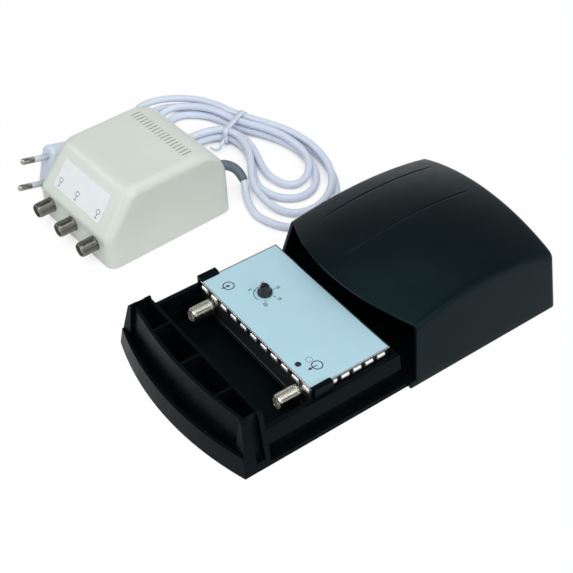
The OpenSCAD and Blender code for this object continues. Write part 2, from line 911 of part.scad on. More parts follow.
// Square sleeve round the middle limb, with a flange at each end
module transformer_bobbin() {
    low = window_z + snug;
    high = low + window_h - 2 * snug;
    in_x = limb_w / 2 + snug;
    in_y = core_l / 2 + snug;
    out_x = limb_w / 2 + window_w - snug;
    color([0.15, 0.15, 0.17]) at_supply() translate([0, core_y, 0]) difference() {
        union() {
            slab([-in_x - bobbin_t, -in_y - bobbin_t, low], [in_x + bobbin_t, in_y + bobbin_t, high]);
            for (z = [low, high - bobbin_t])
                slab([-out_x, -in_y - window_w, z], [out_x, in_y + window_w, z + bobbin_t]);
        }
        slab([-in_x, -in_y, 0], [in_x, in_y, far]);
    }
}

module transformer_winding() {
    low = window_z + 2 * snug + bobbin_t;
    high = low + window_h - 4 * snug - 2 * bobbin_t;
    in_x = limb_w / 2 + 2 * snug + bobbin_t;
    in_y = core_l / 2 + 2 * snug + bobbin_t;
    out_x = limb_w / 2 + window_w - loose;
    color([0.80, 0.66, 0.20]) at_supply() translate([0, core_y, 0]) difference() {
        slab([-out_x, -in_y - window_w + 2, low], [out_x, in_y + window_w - 2, high]);
        slab([-in_x, -in_y, 0], [in_x, in_y, far]);
    }
}

module rectifier_diodes() {
    color(black) at_supply() for (i = [0:3])
        translate([diode_at[0] + diode_pitch * i, diode_at[1], supply_board_top + diode_d / 2])
            rotate([-90, 0, 0]) cylinder(h = diode_l, d = diode_d);
}

module smoothing_capacitor() {
    color([0.12, 0.13, 0.30]) at_supply() translate([big_cap_at[0], big_cap_at[1], supply_board_top])
        cylinder(h = big_cap_h, d = big_cap_d);
}

module regulator() {
    color(black) at_supply() translate([regulator_at[0], regulator_at[1], supply_board_top])
        cube(regulator_size);
}

module thermal_fuse() {
    back = core_y + core_l / 2 + window_w + fuse_d / 2 - 0.7;
    color(tin) at_supply() translate([-fuse_l / 2, back, core_z + core_h / 2]) rotate([0, 90, 0])
        cylinder(h = fuse_l, d = fuse_d);
}

module supply_screws() {
    color(tin) at_supply() boss_places() translate([0, 0, 0.9]) mirror([0, 0, 1]) difference() {
        union() {
            cylinder(h = 0.7, d1 = 5.8, d2 = 5);
            translate([0, 0, -9]) cylinder(h = 9 + eps, d = 2.5);
        }
        for (a = [0, 90]) rotate(a) translate([-1.5, -0.4, 0.3]) cube([3, 0.8, 1]);
    }
}

// Mains lead

function unit(v) = v / norm(v);
function clamp01(x) = max(0, min(1, x));
function smooth(a, b, x) = let (t = clamp01((x - a) / (b - a))) t * t * (3 - 2 * t);
function turned(p, a) = [p[0] * cos(a) - p[1] * sin(a), p[0] * sin(a) + p[1] * cos(a)];

// How many loops a point of the hank lies outside the innermost one
function hank_loop(a) = abs(a - hank_back) / 360;
// How high the second layer lies on the first: fully at the waist, not at all at the ends of the loops
function hank_rise(a) = smooth(0, 0.8, abs(sin(a)))
    * (a < hank_back ? 0 : smooth(hank_back + 20, hank_back + 145, a));
function hank_along(a) = let (s = hank_loop(a))
    cos(a) * (cos(a) > 0 ? right_reach + right_grow * s : left_reach + left_grow * s);
function hank_across(a) = let (
    s = hank_loop(a),
    swell = (loop_swell + swell_grow * s) * (cos(a) > 0 ? 1 : left_swell))
    sin(a) * (hank_inner + hank_step * s + swell * (sqrt(cos(a) * cos(a) + waist * waist) - waist));
// Point of the hank on an axis that bends away from the tie to both sides
function hank_point(a) = let (
    along = hank_along(a),
    across = hank_across(a),
    bend = along > 0 ? right_bend : left_bend,
    turn = hank_turn - bend * along,
    r = 180 / (PI * bend),
    x = r * (sin(hank_turn) - sin(turn)) - across * sin(turn),
    y = r * (cos(turn) - cos(hank_turn)) + across * cos(turn),
    z = lead_low + tie_raise * smooth(0.8, 1, abs(sin(a))) + hank_lift * hank_rise(a))
    [hank_mid[0] + x, hank_mid[1] + y, z];

// Route of the whole lead: from the housing, through the hank, to the plug
function span(list, from, to) = [for (i = [from:to]) list[i]];
lead_start = let (p = turned([lead_x, supply_l / 2], supply_turn)) [supply_x + p[0], supply_y + p[1], lead_z];
lead_aim = let (p = turned([0, boot_straight], supply_turn)) [p[0], p[1], 0];
plug_aim = [sin(plug_turn) * cos(plug_tilt), -cos(plug_turn) * cos(plug_tilt), sin(plug_tilt)];
plug_mid = [plug_at[0], plug_at[1], plug_z];
plug_end = plug_mid - plug_l * plug_aim;
hank_points = [for (a = [hank_from:loop_step:hank_to]) hank_point(a)];
lead_points = concat([lead_start - lead_aim, lead_start, lead_start + lead_aim], exit_route, hank_points,
    tail_route, [plug_end - tail_straight * plug_aim, plug_end, plug_end + plug_aim]);
boot_from = 1;
boot_to = boot_from + boot_rings;
loops_from = 3 + len(exit_route);
loops_to = loops_from + len(hank_points) - 1;
lead_to = len(lead_points) - 2;

// Length of a run of points, and the least gap of the hank to itself on points closer than its rings
function run_length(p, i = 0) = i > len(p) - 2 ? 0 : norm(p[i + 1] - p[i]) + run_length(p, i + 1);
gap_step = 5;
gap_apart = 16;
gap_points = [for (a = [hank_from:gap_step:hank_to]) hank_point(a)];
hank_gap = min([for (i = [0:len(gap_points) - gap_apart - 1])
    min([for (j = [i + gap_apart:len(gap_points) - 1]) norm(gap_points[i] - gap_points[j])])]) - lead_d;
echo(lead_length = run_length(span(lead_points, boot_to, lead_to)), hank_gap = hank_gap);

// Tube along a list of points with one radius for each, apart from the first and the last point,
// which only give the direction of its ends
module tube(points, radii, sides) {
    n = len(radii);
    rings = [for (i = [1:n]) let (
        ahead = unit(points[i + 1] - points[i - 1]),
        side = unit(cross([0, 0, 1], ahead)),
        rise = cross(ahead, side))
        for (k = [0:sides - 1])
            points[i] + radii[i - 1] * (cos(360 * k / sides) * side + sin(360 * k / sides) * rise)];
    walls = [for (i = [0:n - 2], k = [0:sides - 1]) let (
        a = i * sides + k,
        b = i * sides + (k + 1) % sides)
        each [[a, a + sides, b], [b, a + sides, b + sides]]];
    last = (n - 1) * sides;
    caps = [for (k = [1:sides - 2]) each [[0, k, k + 1], [last, last + k + 1, last + k]]];
    polyhedron(rings, concat(walls, caps));
}

module lead_tube(from, to, sides) {
    tube(span(lead_points, from - 1, to + 1), [for (i = [from:to]) lead_r], sides);
}

// Flange and neck in the wall of the housing, then a boot that tapers along the lead
module strain_relief() {
    u = unit(lead_aim);
    inner = lead_start - (supply_wall + snug) * u;
    flange = inner - boot_flange_t * u;
    points = concat([flange - u, flange, inner, inner, lead_start],
        span(lead_points, boot_from, boot_to + 1));
    taper = [for (i = [0:boot_rings]) boot_r + (boot_end_r - boot_r) * i / boot_rings];
    color([0.42, 0.46, 0.50])
        tube(points, concat([boot_r, boot_r, boot_neck_r, boot_neck_r], taper), 16);
}

module lead_exit() { color(white) lead_tube(boot_to, loops_from, 8); }
module lead_hank() { color(white) lead_tube(loops_from, loops_to, 6); }
module lead_tail() { color(white) lead_tube(loops_to, lead_to, 8); }

// Twist tie round the waist of the hank, with its twisted end on the floor beside it
module lead_tie() {
    low = lead_low + tie_raise - lead_r - snug;
    high = lead_low + tie_raise + hank_lift + lead_r + snug;
    left = -hank_inner - hank_step - lead_r - loose - tie_room[0];
    right = hank_inner + 1.5 * hank_step + lead_r + loose + tie_room[1];
    color(white) {
        translate([hank_mid[0], hank_mid[1], 0]) rotate(hank_turn) translate([0, (left + right) / 2, 0])
            rotate([90, 0, 90]) translate([0, (low + high) / 2, -tie_w / 2])
            linear_extrude(tie_w) difference() {
                round_rect(right - left + 2 * tie_t, high - low + 2 * tie_t, lead_r + tie_t);
                round_rect(right - left, high - low, lead_r);
            }
        tube(tie_route, twist_radii, 8);
    }
}

// Mains plug, drawn with its pins along -Y and its face at y = 0

module at_plug() {
    translate(plug_mid) rotate([-plug_tilt, 0, plug_turn]) rotate([0, plug_roll, 0]) children();
}

module plug_pin_places() {
    for (x = [-1, 1]) translate([x * pin_pitch / 2, 0, 0]) rotate([90, 0, 0]) children();
}

module plug_body() {
    color(white) at_plug() difference() {
        intersection() {
            translate([0, plug_l, 0]) rotate([90, 0, 0]) linear_extrude(plug_l)
                round_rect(plug_w, plug_t, plug_t / 2 - eps);
            translate([0, 0, -plug_t]) linear_extrude(2 * plug_t)
                polygon([[-plug_w / 2, 0], [plug_w / 2, 0], [plug_w / 2, plug_grip_l],
                         [plug_end_w / 2, plug_l], [-plug_end_w / 2, plug_l], [-plug_w / 2, plug_grip_l]]);
        }
        plug_pin_places() translate([0, 0, -pin_set]) cylinder(h = pin_set + 1, d = core_d + 2 * running);
    }
}

module plug_pins() {
    color(tin) at_plug() plug_pin_places() {
        translate([0, 0, -pin_set]) cylinder(h = pin_set + pin_l - eps, d = core_d);
        translate([0, 0, sleeve_l]) cylinder(h = pin_l - sleeve_l - pin_tip, d = pin_d);
        translate([0, 0, pin_l - pin_tip - eps]) cylinder(h = pin_tip + eps, d1 = pin_d, d2 = core_d);
    }
}

module pin_sleeves() {
    color(black) at_plug() plug_pin_places() difference() {
        cylinder(h = sleeve_l, d = pin_d - sleeve_step);
        translate([0, 0, -1]) cylinder(h = sleeve_l + 2, d = core_d + 2 * running);
    }
}

base_tray();
cover();
module_frame();
module_lid();
module_bottom();
lid_label();
input_socket();
output_socket();
socket_insulators();
socket_contacts();
module_board();
rf_coils();
rf_transistors();
rf_capacitors();
output_splitter();
attenuator_body();
attenuator_knob();
test_plug();
supply_shell();
supply_base();
supply_label();
supply_socket_1();
supply_socket_2();
supply_socket_3();
supply_insulators();
supply_contacts();
supply_nuts();
supply_board();
transformer_core();
transformer_bobbin();
transformer_winding();
rectifier_diodes();
smoothing_capacitor();
regulator();
thermal_fuse();
supply_screws();
strain_relief();
lead_exit();
lead_hank();
lead_tail();
lead_tie();
plug_body();
plug_pins();
pin_sleeves();
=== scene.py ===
import math

import bmesh
import bpy
import numpy as np
from mathutils import Matrix, Vector


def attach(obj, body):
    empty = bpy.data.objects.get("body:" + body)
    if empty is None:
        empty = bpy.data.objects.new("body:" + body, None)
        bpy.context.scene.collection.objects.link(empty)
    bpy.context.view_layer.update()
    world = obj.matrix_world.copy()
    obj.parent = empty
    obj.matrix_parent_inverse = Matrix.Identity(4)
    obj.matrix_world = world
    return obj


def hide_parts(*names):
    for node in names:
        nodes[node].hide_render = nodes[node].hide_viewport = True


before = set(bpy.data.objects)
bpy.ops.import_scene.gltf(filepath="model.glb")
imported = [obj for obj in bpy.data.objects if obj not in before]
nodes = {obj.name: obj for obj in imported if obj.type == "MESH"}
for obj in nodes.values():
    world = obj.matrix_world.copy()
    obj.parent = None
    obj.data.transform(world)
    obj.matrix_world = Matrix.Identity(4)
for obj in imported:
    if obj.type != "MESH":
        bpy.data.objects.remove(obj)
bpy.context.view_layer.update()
scene = bpy.context.scene
scene.view_settings.view_transform = "Standard"
MM = 0.001


# Camera at the photograph's place, fitted to the straight edges of the box

VIEW_ANGLE = math.radians(25.03)
CAMERA_AT = (0.401506, -0.301615, 0.514469)
CAMERA_TURN = (math.radians(47.01), 0, math.radians(53.46))

cam = bpy.data.cameras.new("camera")
cam.sensor_fit = "HORIZONTAL"
cam.angle = VIEW_ANGLE
cam.clip_start, cam.clip_end = 0.02, 20
cam_ob = bpy.data.objects.new("camera", cam)
cam_ob.location = CAMERA_AT
cam_ob.rotation_euler = CAMERA_TURN
scene.collection.objects.link(cam_ob)
scene.camera = cam_ob


# Materials

def srgb(*rgb):
    """Linear values of a screen colour given from 0 to 255."""
    shares = [c / 255 for c in rgb]
    return tuple(c / 12.92 if c <= 0.04045 else ((c + 0.055) / 1.055) ** 2.4 for c in shares)


def material(name, colour, rough, metallic=0.0, mottle=(60, 0.08), grain=(1500, 0.1), rough_vary=0.08,
             stretch=(1, 1, 1), speckle=None, coat=0.0, subsurface=0.0, specular=0.5, sheen=(1, 1, 1)):
    """Plastic or metal with drifting tone, fine surface grain and uneven gloss, all in object space.

    mottle is (scale, depth) of the tone, grain is (scale, depth) of the surface, and speckle is
    (scale, colour, share) of fine spots.
    """
    m = bpy.data.materials.new(name)
    m.use_nodes = True
    nt = m.node_tree
    bsdf = nt.nodes["Principled BSDF"]
    bsdf.inputs["Metallic"].default_value = metallic
    bsdf.inputs["Specular IOR Level"].default_value = specular
    bsdf.inputs["Specular Tint"].default_value = (*sheen, 1)
    if coat:
        bsdf.inputs["Coat Weight"].default_value = coat
        bsdf.inputs["Coat Roughness"].default_value = 0.2
    if subsurface:
        bsdf.inputs["Subsurface Weight"].default_value = subsurface
        bsdf.inputs["Subsurface Radius"].default_value = (0.002, 0.002, 0.002)
    coord = nt.nodes.new("ShaderNodeTexCoord")
    mapping = nt.nodes.new("ShaderNodeMapping")
    mapping.inputs["Scale"].default_value = stretch
    nt.links.new(coord.outputs["Object"], mapping.inputs["Vector"])

    def noise(scale, detail, rough_detail=0.5):
        n = nt.nodes.new("ShaderNodeTexNoise")
        n.inputs["Scale"].default_value = scale
        n.inputs["Detail"].default_value = detail
        n.inputs["Roughness"].default_value = rough_detail
        nt.links.new(mapping.outputs["Vector"], n.inputs["Vector"])
        return n.outputs["Fac"]

    def span(value, low, high, out_low, out_high):
        n = nt.nodes.new("ShaderNodeMapRange")
        n.inputs["From Min"].default_value = low
        n.inputs["From Max"].default_value = high
        n.inputs["To Min"].default_value = out_low
        n.inputs["To Max"].default_value = out_high
        nt.links.new(value, n.inputs["Value"])
        return n.outputs["Result"]

    ramp = nt.nodes.new("ShaderNodeMix")
    ramp.data_type = "RGBA"
    low = [c * (1 - mottle[1]) for c in colour]
    high = [min(1, c * (1 + mottle[1])) for c in colour]
    ramp.inputs["A"].default_value = (*low, 1)
    ramp.inputs["B"].default_value = (*high, 1)
    nt.links.new(span(noise(mottle[0], 5, 0.6), 0.3, 0.7, 0, 1), ramp.inputs["Factor"])
    tone = ramp.outputs["Result"]
    if speckle:
        spots = nt.nodes.new("ShaderNodeMix")
        spots.data_type = "RGBA"
        spots.inputs["B"].default_value = (*speckle[1], 1)
        nt.links.new(tone, spots.inputs["A"])
        nt.links.new(span(noise(speckle[0], 3), 0.62, 0.72, 0, speckle[2]), spots.inputs["Factor"])
        tone = spots.outputs["Result"]
    nt.links.new(tone, bsdf.inputs["Base Color"])
    nt.links.new(span(noise(mottle[0] * 2.3, 6, 0.65), 0.3, 0.7, max(0.03, rough - rough_vary),
                      min(1, rough + rough_vary)), bsdf.inputs["Roughness"])
    bump = nt.nodes.new("ShaderNodeBump")
    bump.inputs["Strength"].default_value = grain[1]
    bump.inputs["Distance"].default_value = 0.0002
    nt.links.new(noise(grain[0], 3), bump.inputs["Height"])
    nt.links.new(bump.outputs["Normal"], bsdf.inputs["Normal"])
    return m


BLACK = material("black_plastic", (0.0026, 0.0052, 0.0062), 0.34, mottle=(35, 0.2), grain=(2600, 0.1),
                 rough_vary=0.07, speckle=(900, (0.009, 0.012, 0.013), 0.35), specular=0.13,
                 sheen=(0.42, 0.95, 1))
# Painted shade: a darker, less glossy copy of the cover's black plastic, used on the tray so that it reads
# darker under the same lamps
SHADED_TRAY_BLACK = material("shade_darkened_black_tray", (0.0022, 0.0036, 0.0042), 0.36, mottle=(35, 0.2), grain=(2600, 0.1),
                      rough_vary=0.07, speckle=(900, (0.005, 0.0075, 0.0085), 0.35), specular=0.05,
                      sheen=(0.5, 0.94, 1))
CREAM = material("cream_plastic", srgb(216, 223, 213), 0.42, mottle=(25, 0.02), grain=(3200, 0.14),
                 rough_vary=0.06)
TIN = material("tinplate", (0.74, 0.75, 0.74), 0.3, 1.0, mottle=(40, 0.08), grain=(700, 0.06),
               rough_vary=0.09, stretch=(0.15, 1, 1))
# Painted highlight: a paler, half-metallic copy of the tinplate that stands in for the bright reflections on
# the module's fingers
HIGHLIGHT_TIN = material("painted_highlight_tinplate", (0.9, 0.9, 0.88), 0.38, 0.5, mottle=(40, 0.06), grain=(700, 0.06))
# Painted shade: the module's tin frame and bottom get a near-black metal, so that they read as the shade behind
# the lid's fingers
SHADED_TIN = material("shade_darkened_tinplate", (0.12, 0.125, 0.13), 0.46, 1.0, mottle=(40, 0.12), grain=(700, 0.06),
                      stretch=(0.15, 1, 1))
NICKEL = material("bright_nickel", (0.46, 0.455, 0.385), 0.2, 1.0, mottle=(150, 0.06), grain=(1800, 0.03),
                  rough_vary=0.05)
# Painted dark reflection: a darkened copy of the nickel for the supply's sockets, standing in for dark
# surroundings seen in the metal
SHADED_NICKEL = material("shade_darkened_nickel", (0.16, 0.16, 0.135), 0.2, 1.0, mottle=(150, 0.1), grain=(1800, 0.04),
                       rough_vary=0.05)
FILM = material("label_film", srgb(178, 214, 226), 0.42, mottle=(60, 0.02), grain=(2200, 0.04),
                rough_vary=0.05)
INK = material("print_ink", (0.012, 0.014, 0.022), 0.5, mottle=(300, 0.3), grain=(3000, 0.1))
GREY_INK = material("grey_ink", srgb(110, 128, 140), 0.5, mottle=(300, 0.2), grain=(3000, 0.1))
PAPER = material("label_paper", srgb(236, 240, 240), 0.55, mottle=(120, 0.02), grain=(2600, 0.12))
PVC = material("white_pvc", srgb(216, 225, 240), 0.4, mottle=(40, 0.03), grain=(1800, 0.1), subsurface=0.1)
GREY_PVC = material("grey_pvc", srgb(98, 112, 122), 0.5, mottle=(80, 0.12), grain=(2000, 0.2))
TIE = material("tie_film", srgb(216, 224, 240), 0.35, mottle=(120, 0.06), grain=(1500, 0.25))
INSULATOR = material("insulator", srgb(236, 236, 228), 0.45, mottle=(200, 0.05), grain=(2600, 0.1))
BRASS = material("contact_brass", (0.78, 0.6, 0.3), 0.25, 1.0, mottle=(300, 0.12), grain=(2500, 0.08))
COPPER = material("enamelled_copper", (0.62, 0.26, 0.1), 0.3, 0.9, mottle=(200, 0.15), grain=(1600, 0.3),
                  stretch=(1, 1, 6))
BOARD = material("board", srgb(28, 92, 52), 0.35, mottle=(180, 0.25), grain=(1200, 0.15), coat=0.3)
BODY_BLACK = material("black_parts", (0.014, 0.014, 0.015), 0.3, mottle=(200, 0.3), grain=(2600, 0.15))
CERAMIC = material("ceramic_parts", srgb(190, 138, 72), 0.45, mottle=(300, 0.15), grain=(1500, 0.25))
FERRITE = material("ferrite", (0.045, 0.045, 0.05), 0.55, mottle=(200, 0.3), grain=(1400, 0.5))
BLUE = material("blue_parts", srgb(44, 62, 118), 0.35, mottle=(150, 0.12), grain=(2200, 0.1))
LAMINATED = material("laminated_steel", (0.33, 0.33, 0.34), 0.42, 0.9, mottle=(60, 0.2), grain=(900, 0.5),
                     stretch=(0.05, 3, 0.05))
STEEL = material("plated_steel", (0.36, 0.36, 0.32), 0.25, 1.0, mottle=(120, 0.06), grain=(1600, 0.03),
                 rough_vary=0.05)
SLEEVE = material("pin_sleeve", srgb(206, 212, 216), 0.4, mottle=(150, 0.03), grain=(2200, 0.06),
                  subsurface=0.1)

CAD_LOOKS = {
    SHADED_TRAY_BLACK: ["base_tray"],
    BLACK: ["cover"],
    SHADED_TIN: ["module_frame", "module_bottom"],
    TIN: ["module_lid"],
    FILM: ["lid_label"],
    NICKEL: ["input_socket", "output_socket", "supply_nuts"],
    SHADED_NICKEL: ["supply_socket_1", "supply_socket_2", "supply_socket_3"],
    INSULATOR: ["socket_insulators", "supply_insulators"],
    BRASS: ["socket_contacts", "supply_contacts"],
    BOARD: ["module_board", "supply_board"],
    COPPER: ["rf_coils", "transformer_winding"],
    BODY_BLACK: ["rf_transistors", "attenuator_knob", "test_plug", "transformer_bobbin", "rectifier_diodes",
                 "regulator"],
    CERAMIC: ["rf_capacitors"],
    FERRITE: ["output_splitter"],
    BLUE: ["attenuator_body", "smoothing_capacitor"],
    CREAM: ["supply_shell", "supply_base"],
    PAPER: ["supply_label"],
    LAMINATED: ["transformer_core"],
    STEEL: ["thermal_fuse", "supply_screws", "plug_pins"],
    GREY_PVC: ["strain_relief"],
    PVC: ["lead_exit", "lead_hank", "lead_tail", "plug_body"],
    TIE: ["lead_tie"],
    SLEEVE: ["pin_sleeves"],
}
for look, names in CAD_LOOKS.items():
    for name in names:
        nodes[name].data.materials.clear()
        nodes[name].data.materials.append(look)


# Mesh helpers, in millimetres

def add_mesh(name, verts, faces, look, body, replaces=(), smooth=True, matrix=None):
    me = bpy.data.meshes.new(name)
    if matrix is not None:
        verts = [matrix @ Vector(v) for v in verts]
    me.from_pydata([(v[0] * MM, v[1] * MM, v[2] * MM) for v in verts], [], faces)
    me.validate()
    me.materials.append(look)
    if smooth:
        me.shade_smooth()
    ob = bpy.data.objects.new(name, me)
    scene.collection.objects.link(ob)
    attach(ob, body)
    if replaces:
        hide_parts(*replaces)
    return ob


def outward(ob):
    """Turns the faces of a closed form outwards."""
    bm = bmesh.new()
    bm.from_mesh(ob.data)
    bmesh.ops.recalc_face_normals(bm, faces=bm.faces)
    bm.to_mesh(ob.data)
    bm.free()


def crease(ob, degrees):
    """Keeps the edges that turn by more than some degrees sharp, and the rest smooth."""
    normals = ob.modifiers.new("normals", "WEIGHTED_NORMAL")
    normals.keep_sharp = True
    bm = bmesh.new()
    bm.from_mesh(ob.data)
    for edge in bm.edges:
        edge.smooth = edge.calc_face_angle(0) < math.radians(degrees)
    bm.to_mesh(ob.data)
    bm.free()


def grid(rows, cols, wrap=False):
    """Faces between rows of points; wrap closes each row into a ring."""
    faces = []
    for i in range(rows - 1):
        for j in range(cols if wrap else cols - 1):
            a, b = i * cols + j, i * cols + (j + 1) % cols
            faces.append((a, b, b + cols, a + cols))
    return faces


def bake(ob):
    """Puts the result of an object's modifiers into its mesh."""
    bpy.context.view_layer.update()
    made = bpy.data.meshes.new_from_object(ob.evaluated_get(bpy.context.evaluated_depsgraph_get()))
    ob.modifiers.clear()
    ob.data = made


def block(x0, x1, y0, y1, z0, z1):
    """Points and faces of a box."""
    v = [(x, y, z) for z in (z0, z1) for x, y in ((x0, y0), (x1, y0), (x1, y1), (x0, y1))]
    return v, [(3, 2, 1, 0), (4, 5, 6, 7), (0, 1, 5, 4), (1, 2, 6, 5), (2, 3, 7, 6), (3, 0, 4, 7)]


def carve(ob, verts, faces, matrix=None):
    """Cuts closed forms out of an object and bakes the result."""
    cutter = add_mesh("cutter", verts, faces, CREAM, "base", matrix=matrix, smooth=False)
    outward(cutter)
    hole = ob.modifiers.new("holes", "BOOLEAN")
    hole.operation = "DIFFERENCE"
    hole.solver = "EXACT"
    hole.object = cutter
    bake(ob)
    bpy.data.objects.remove(cutter)


def rounded(node, width, body, look):
    """Copy of a CAD node with its sharp edges broken."""
    me = nodes[node].data.copy()
    bm = bmesh.new()
    bm.from_mesh(me)
    bmesh.ops.remove_doubles(bm, verts=bm.verts, dist=2e-6)
    bmesh.ops.dissolve_limit(bm, angle_limit=math.radians(0.4), verts=bm.verts, edges=bm.edges)
    bm.to_mesh(me)
    bm.free()
    me.materials.clear()
    me.materials.append(look)
    ob = bpy.data.objects.new(node + "_moulded", me)
    scene.collection.objects.link(ob)
    me.shade_smooth()
    bevel = ob.modifiers.new("edges", "BEVEL")
    bevel.width = width * MM
    bevel.segments = 2
    bevel.limit_method = "ANGLE"
    bevel.angle_limit = math.radians(30)
    bevel.use_clamp_overlap = True
    normals = ob.modifiers.new("normals", "WEIGHTED_NORMAL")
    normals.keep_sharp = False
    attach(ob, body)
    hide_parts(node)
    return ob


def spline(points, per=6):
    """Smooth line through points, centripetal Catmull-Rom."""
    p = [np.array(q, float) for q in points]
    p = [2 * p[0] - p[1]] + p + [2 * p[-1] - p[-2]]
    out = []
    for i in range(1, len(p) - 2):
        a, b, c, d = p[i - 1:i + 3]
        t0 = 0.0
        t1 = t0 + np.linalg.norm(b - a) ** 0.5
        t2 = t1 + np.linalg.norm(c - b) ** 0.5
        t3 = t2 + np.linalg.norm(d - c) ** 0.5
        for k in range(per):
            t = t1 + (t2 - t1) * k / per
            e = (t1 - t) / (t1 - t0) * a + (t - t0) / (t1 - t0) * b
            f = (t2 - t) / (t2 - t1) * b + (t - t1) / (t2 - t1) * c
            g = (t3 - t) / (t3 - t2) * c + (t - t2) / (t3 - t2) * d
            h = (t2 - t) / (t2 - t0) * e + (t - t0) / (t2 - t0) * f
            j = (t3 - t) / (t3 - t1) * f + (t - t1) / (t3 - t1) * g
            out.append((t2 - t) / (t2 - t1) * h + (t - t1) / (t2 - t1) * j)
    out.append(p[-2])
    return out


def frames(line):
    """Side and rise directions along a line, kept as level as they can be."""
    found = []
    for i in range(len(line)):
        ahead = line[min(i + 1, len(line) - 1)] - line[max(i - 1, 0)]
        ahead = ahead / np.linalg.norm(ahead)
        side = np.cross((0, 0, 1), ahead)
        side = side / np.linalg.norm(side)
        found.append((side, np.cross(ahead, side)))
    return found


def sweep(name, line, section, look, body, replaces=()):
    """Sweeps section(i) -> list of (side, rise) points along a line; its ends are closed by a face."""
    verts, n = [], None
    for i, (p, (side, rise)) in enumerate(zip(line, frames(line))):
        ring = section(i)
        n = len(ring)
        verts += [p + u * side + v * rise for u, v in ring]
    faces = grid(len(line), n, wrap=True)
    faces += [tuple(reversed(range(n))), tuple(range((len(line) - 1) * n, len(line) * n))]
    ob = add_mesh(name, verts, faces, look, body, replaces)
    outward(ob)
    return ob


def circle(r, n):
    return [(r * math.cos(2 * math.pi * k / n), r * math.sin(2 * math.pi * k / n)) for k in range(n)]


def smooth(a, b, x):
    """Rises from 0 at a to 1 at b, with soft ends."""
    t = max(0.0, min(1.0, (x - a) / (b - a)))
    return t * t * (3 - 2 * t)


# Sizes of the supply and the plug, and where they stand

SUPPLY = Matrix.Translation((-155.3, -5.4, 0)) @ Matrix.Rotation(math.radians(3.4), 4, "Z")
S_HALF, S_FRONT, S_BACK = 39, -45.5, 45.5
SLOPE_FOOT, SLOPE_RUN, SLOPE_RISE = 19.5, 21, 28
S_TOP = SLOPE_FOOT + SLOPE_RISE
SLOPE = math.atan2(SLOPE_RISE, SLOPE_RUN)
SOCKET_PITCH, SOCKET_Z = 23.5, 12.5
LEAD_X, LEAD_Z = 16, 17

PLUG_W, PLUG_T, PLUG_L, PLUG_END_W, GRIP_L, PIN_X = 33, 13.7, 36, 13, 17, 9.3
PLUG_TILT = math.radians(15)
PLUG_Z = PLUG_W / 2 * math.cos(PLUG_TILT) + GRIP_L * math.sin(PLUG_TILT) + 0.05
PLUG = (Matrix.Translation((-198.9, -42.8, PLUG_Z)) @ Matrix.Rotation(math.radians(4.5), 4, "Z")
        @ Matrix.Rotation(-PLUG_TILT, 4, "X") @ Matrix.Rotation(math.radians(90), 4, "Y"))


# Mains lead: the route of the CAD solids, from the housing through the hank to the plug

LEAD_R = 2.4
LOW = 2.7
BOOT_STRAIGHT, TAIL_STRAIGHT = 6, 8
EXIT = [(-140.4, 53.1, 16.1), (-136.3, 57.3, 13.5), (-129.5, 58.4, 8.1), (-122.3, 54.8, 3.6),
        (-114.7, 51.7, 3), (-110.4, 50.4, LOW)]
TAIL = [(-230.6, 37.2, 4.3), (-223.5, 32.6, 2.9), (-216, 27.6, LOW), (-209.6, 20.6, 3.6), (-205.2, 11.6, 6)]
HANK_MID, HANK_TURN = (-181.1, 86.8), 26
HANK_FROM, HANK_TO, HANK_STEP, HANK_BACK = -15, 1225, 10, 630
RIGHT_REACH, RIGHT_GROW, RIGHT_BEND = 62.8, 27.1, 0.83
LEFT_REACH, LEFT_GROW, LEFT_BEND, LEFT_SWELL = 40.4, 15.7, 1.03, 0.93
SWELL, SWELL_GROW, WAIST_EASE = 25.6, 16.8, 0.16
STRAND_FIRST, STRAND_STEP = 1.55, 6.2
WAIST_SHARE, TIE_LIFT, UPPER_LIFT = 0.8, 1.3, 5.6
RISE_FROM, RISE_TO = 650, 775

lead_start = np.array(SUPPLY @ Vector((LEAD_X, S_BACK, LEAD_Z)))
lead_out = np.array(SUPPLY.to_3x3() @ Vector((0, 1, 0)))
plug_aim = np.array(PLUG.to_3x3() @ Vector((0, -1, 0)))
plug_end = np.array(PLUG @ Vector((0, PLUG_L, 0)))


def hank_point(deg):
    """Point of a figure of eight whose loops shrink to HANK_BACK and then grow again on top."""
    a = math.radians(deg)
    s = abs(deg - HANK_BACK) / 360
    ca, sa = math.cos(a), math.sin(a)
    along = ca * (RIGHT_REACH + RIGHT_GROW * s if ca > 0 else LEFT_REACH + LEFT_GROW * s)
    swell = (SWELL + SWELL_GROW * s) * (1 if ca > 0 else LEFT_SWELL)
    open_out = math.sqrt(ca * ca + WAIST_EASE ** 2) - WAIST_EASE
    across = sa * (STRAND_FIRST + STRAND_STEP * s + swell * open_out)
    rise = smooth(0, WAIST_SHARE, abs(sa)) * (0 if deg < HANK_BACK else smooth(RISE_FROM, RISE_TO, deg))
    bend = RIGHT_BEND if along > 0 else LEFT_BEND
    turn = math.radians(HANK_TURN - bend * along)
    r = 180 / (math.pi * bend)
    t0 = math.radians(HANK_TURN)
    x = r * (math.sin(t0) - math.sin(turn)) - across * math.sin(turn)
    y = r * (math.cos(turn) - math.cos(t0)) + across * math.cos(turn)
    z = LOW + TIE_LIFT * smooth(WAIST_SHARE, 1, abs(sa)) + UPPER_LIFT * rise
    return (HANK_MID[0] + x, HANK_MID[1] + y, z)


hank = [hank_point(deg) for deg in range(HANK_FROM, HANK_TO + 1, HANK_STEP)]
route = ([lead_start, lead_start + BOOT_STRAIGHT * lead_out] + EXIT + hank + TAIL
         + [plug_end - TAIL_STRAIGHT * plug_aim, plug_end])
boot_line = spline(route[:6], 10)[:41]
lead_line = spline(route, 4)

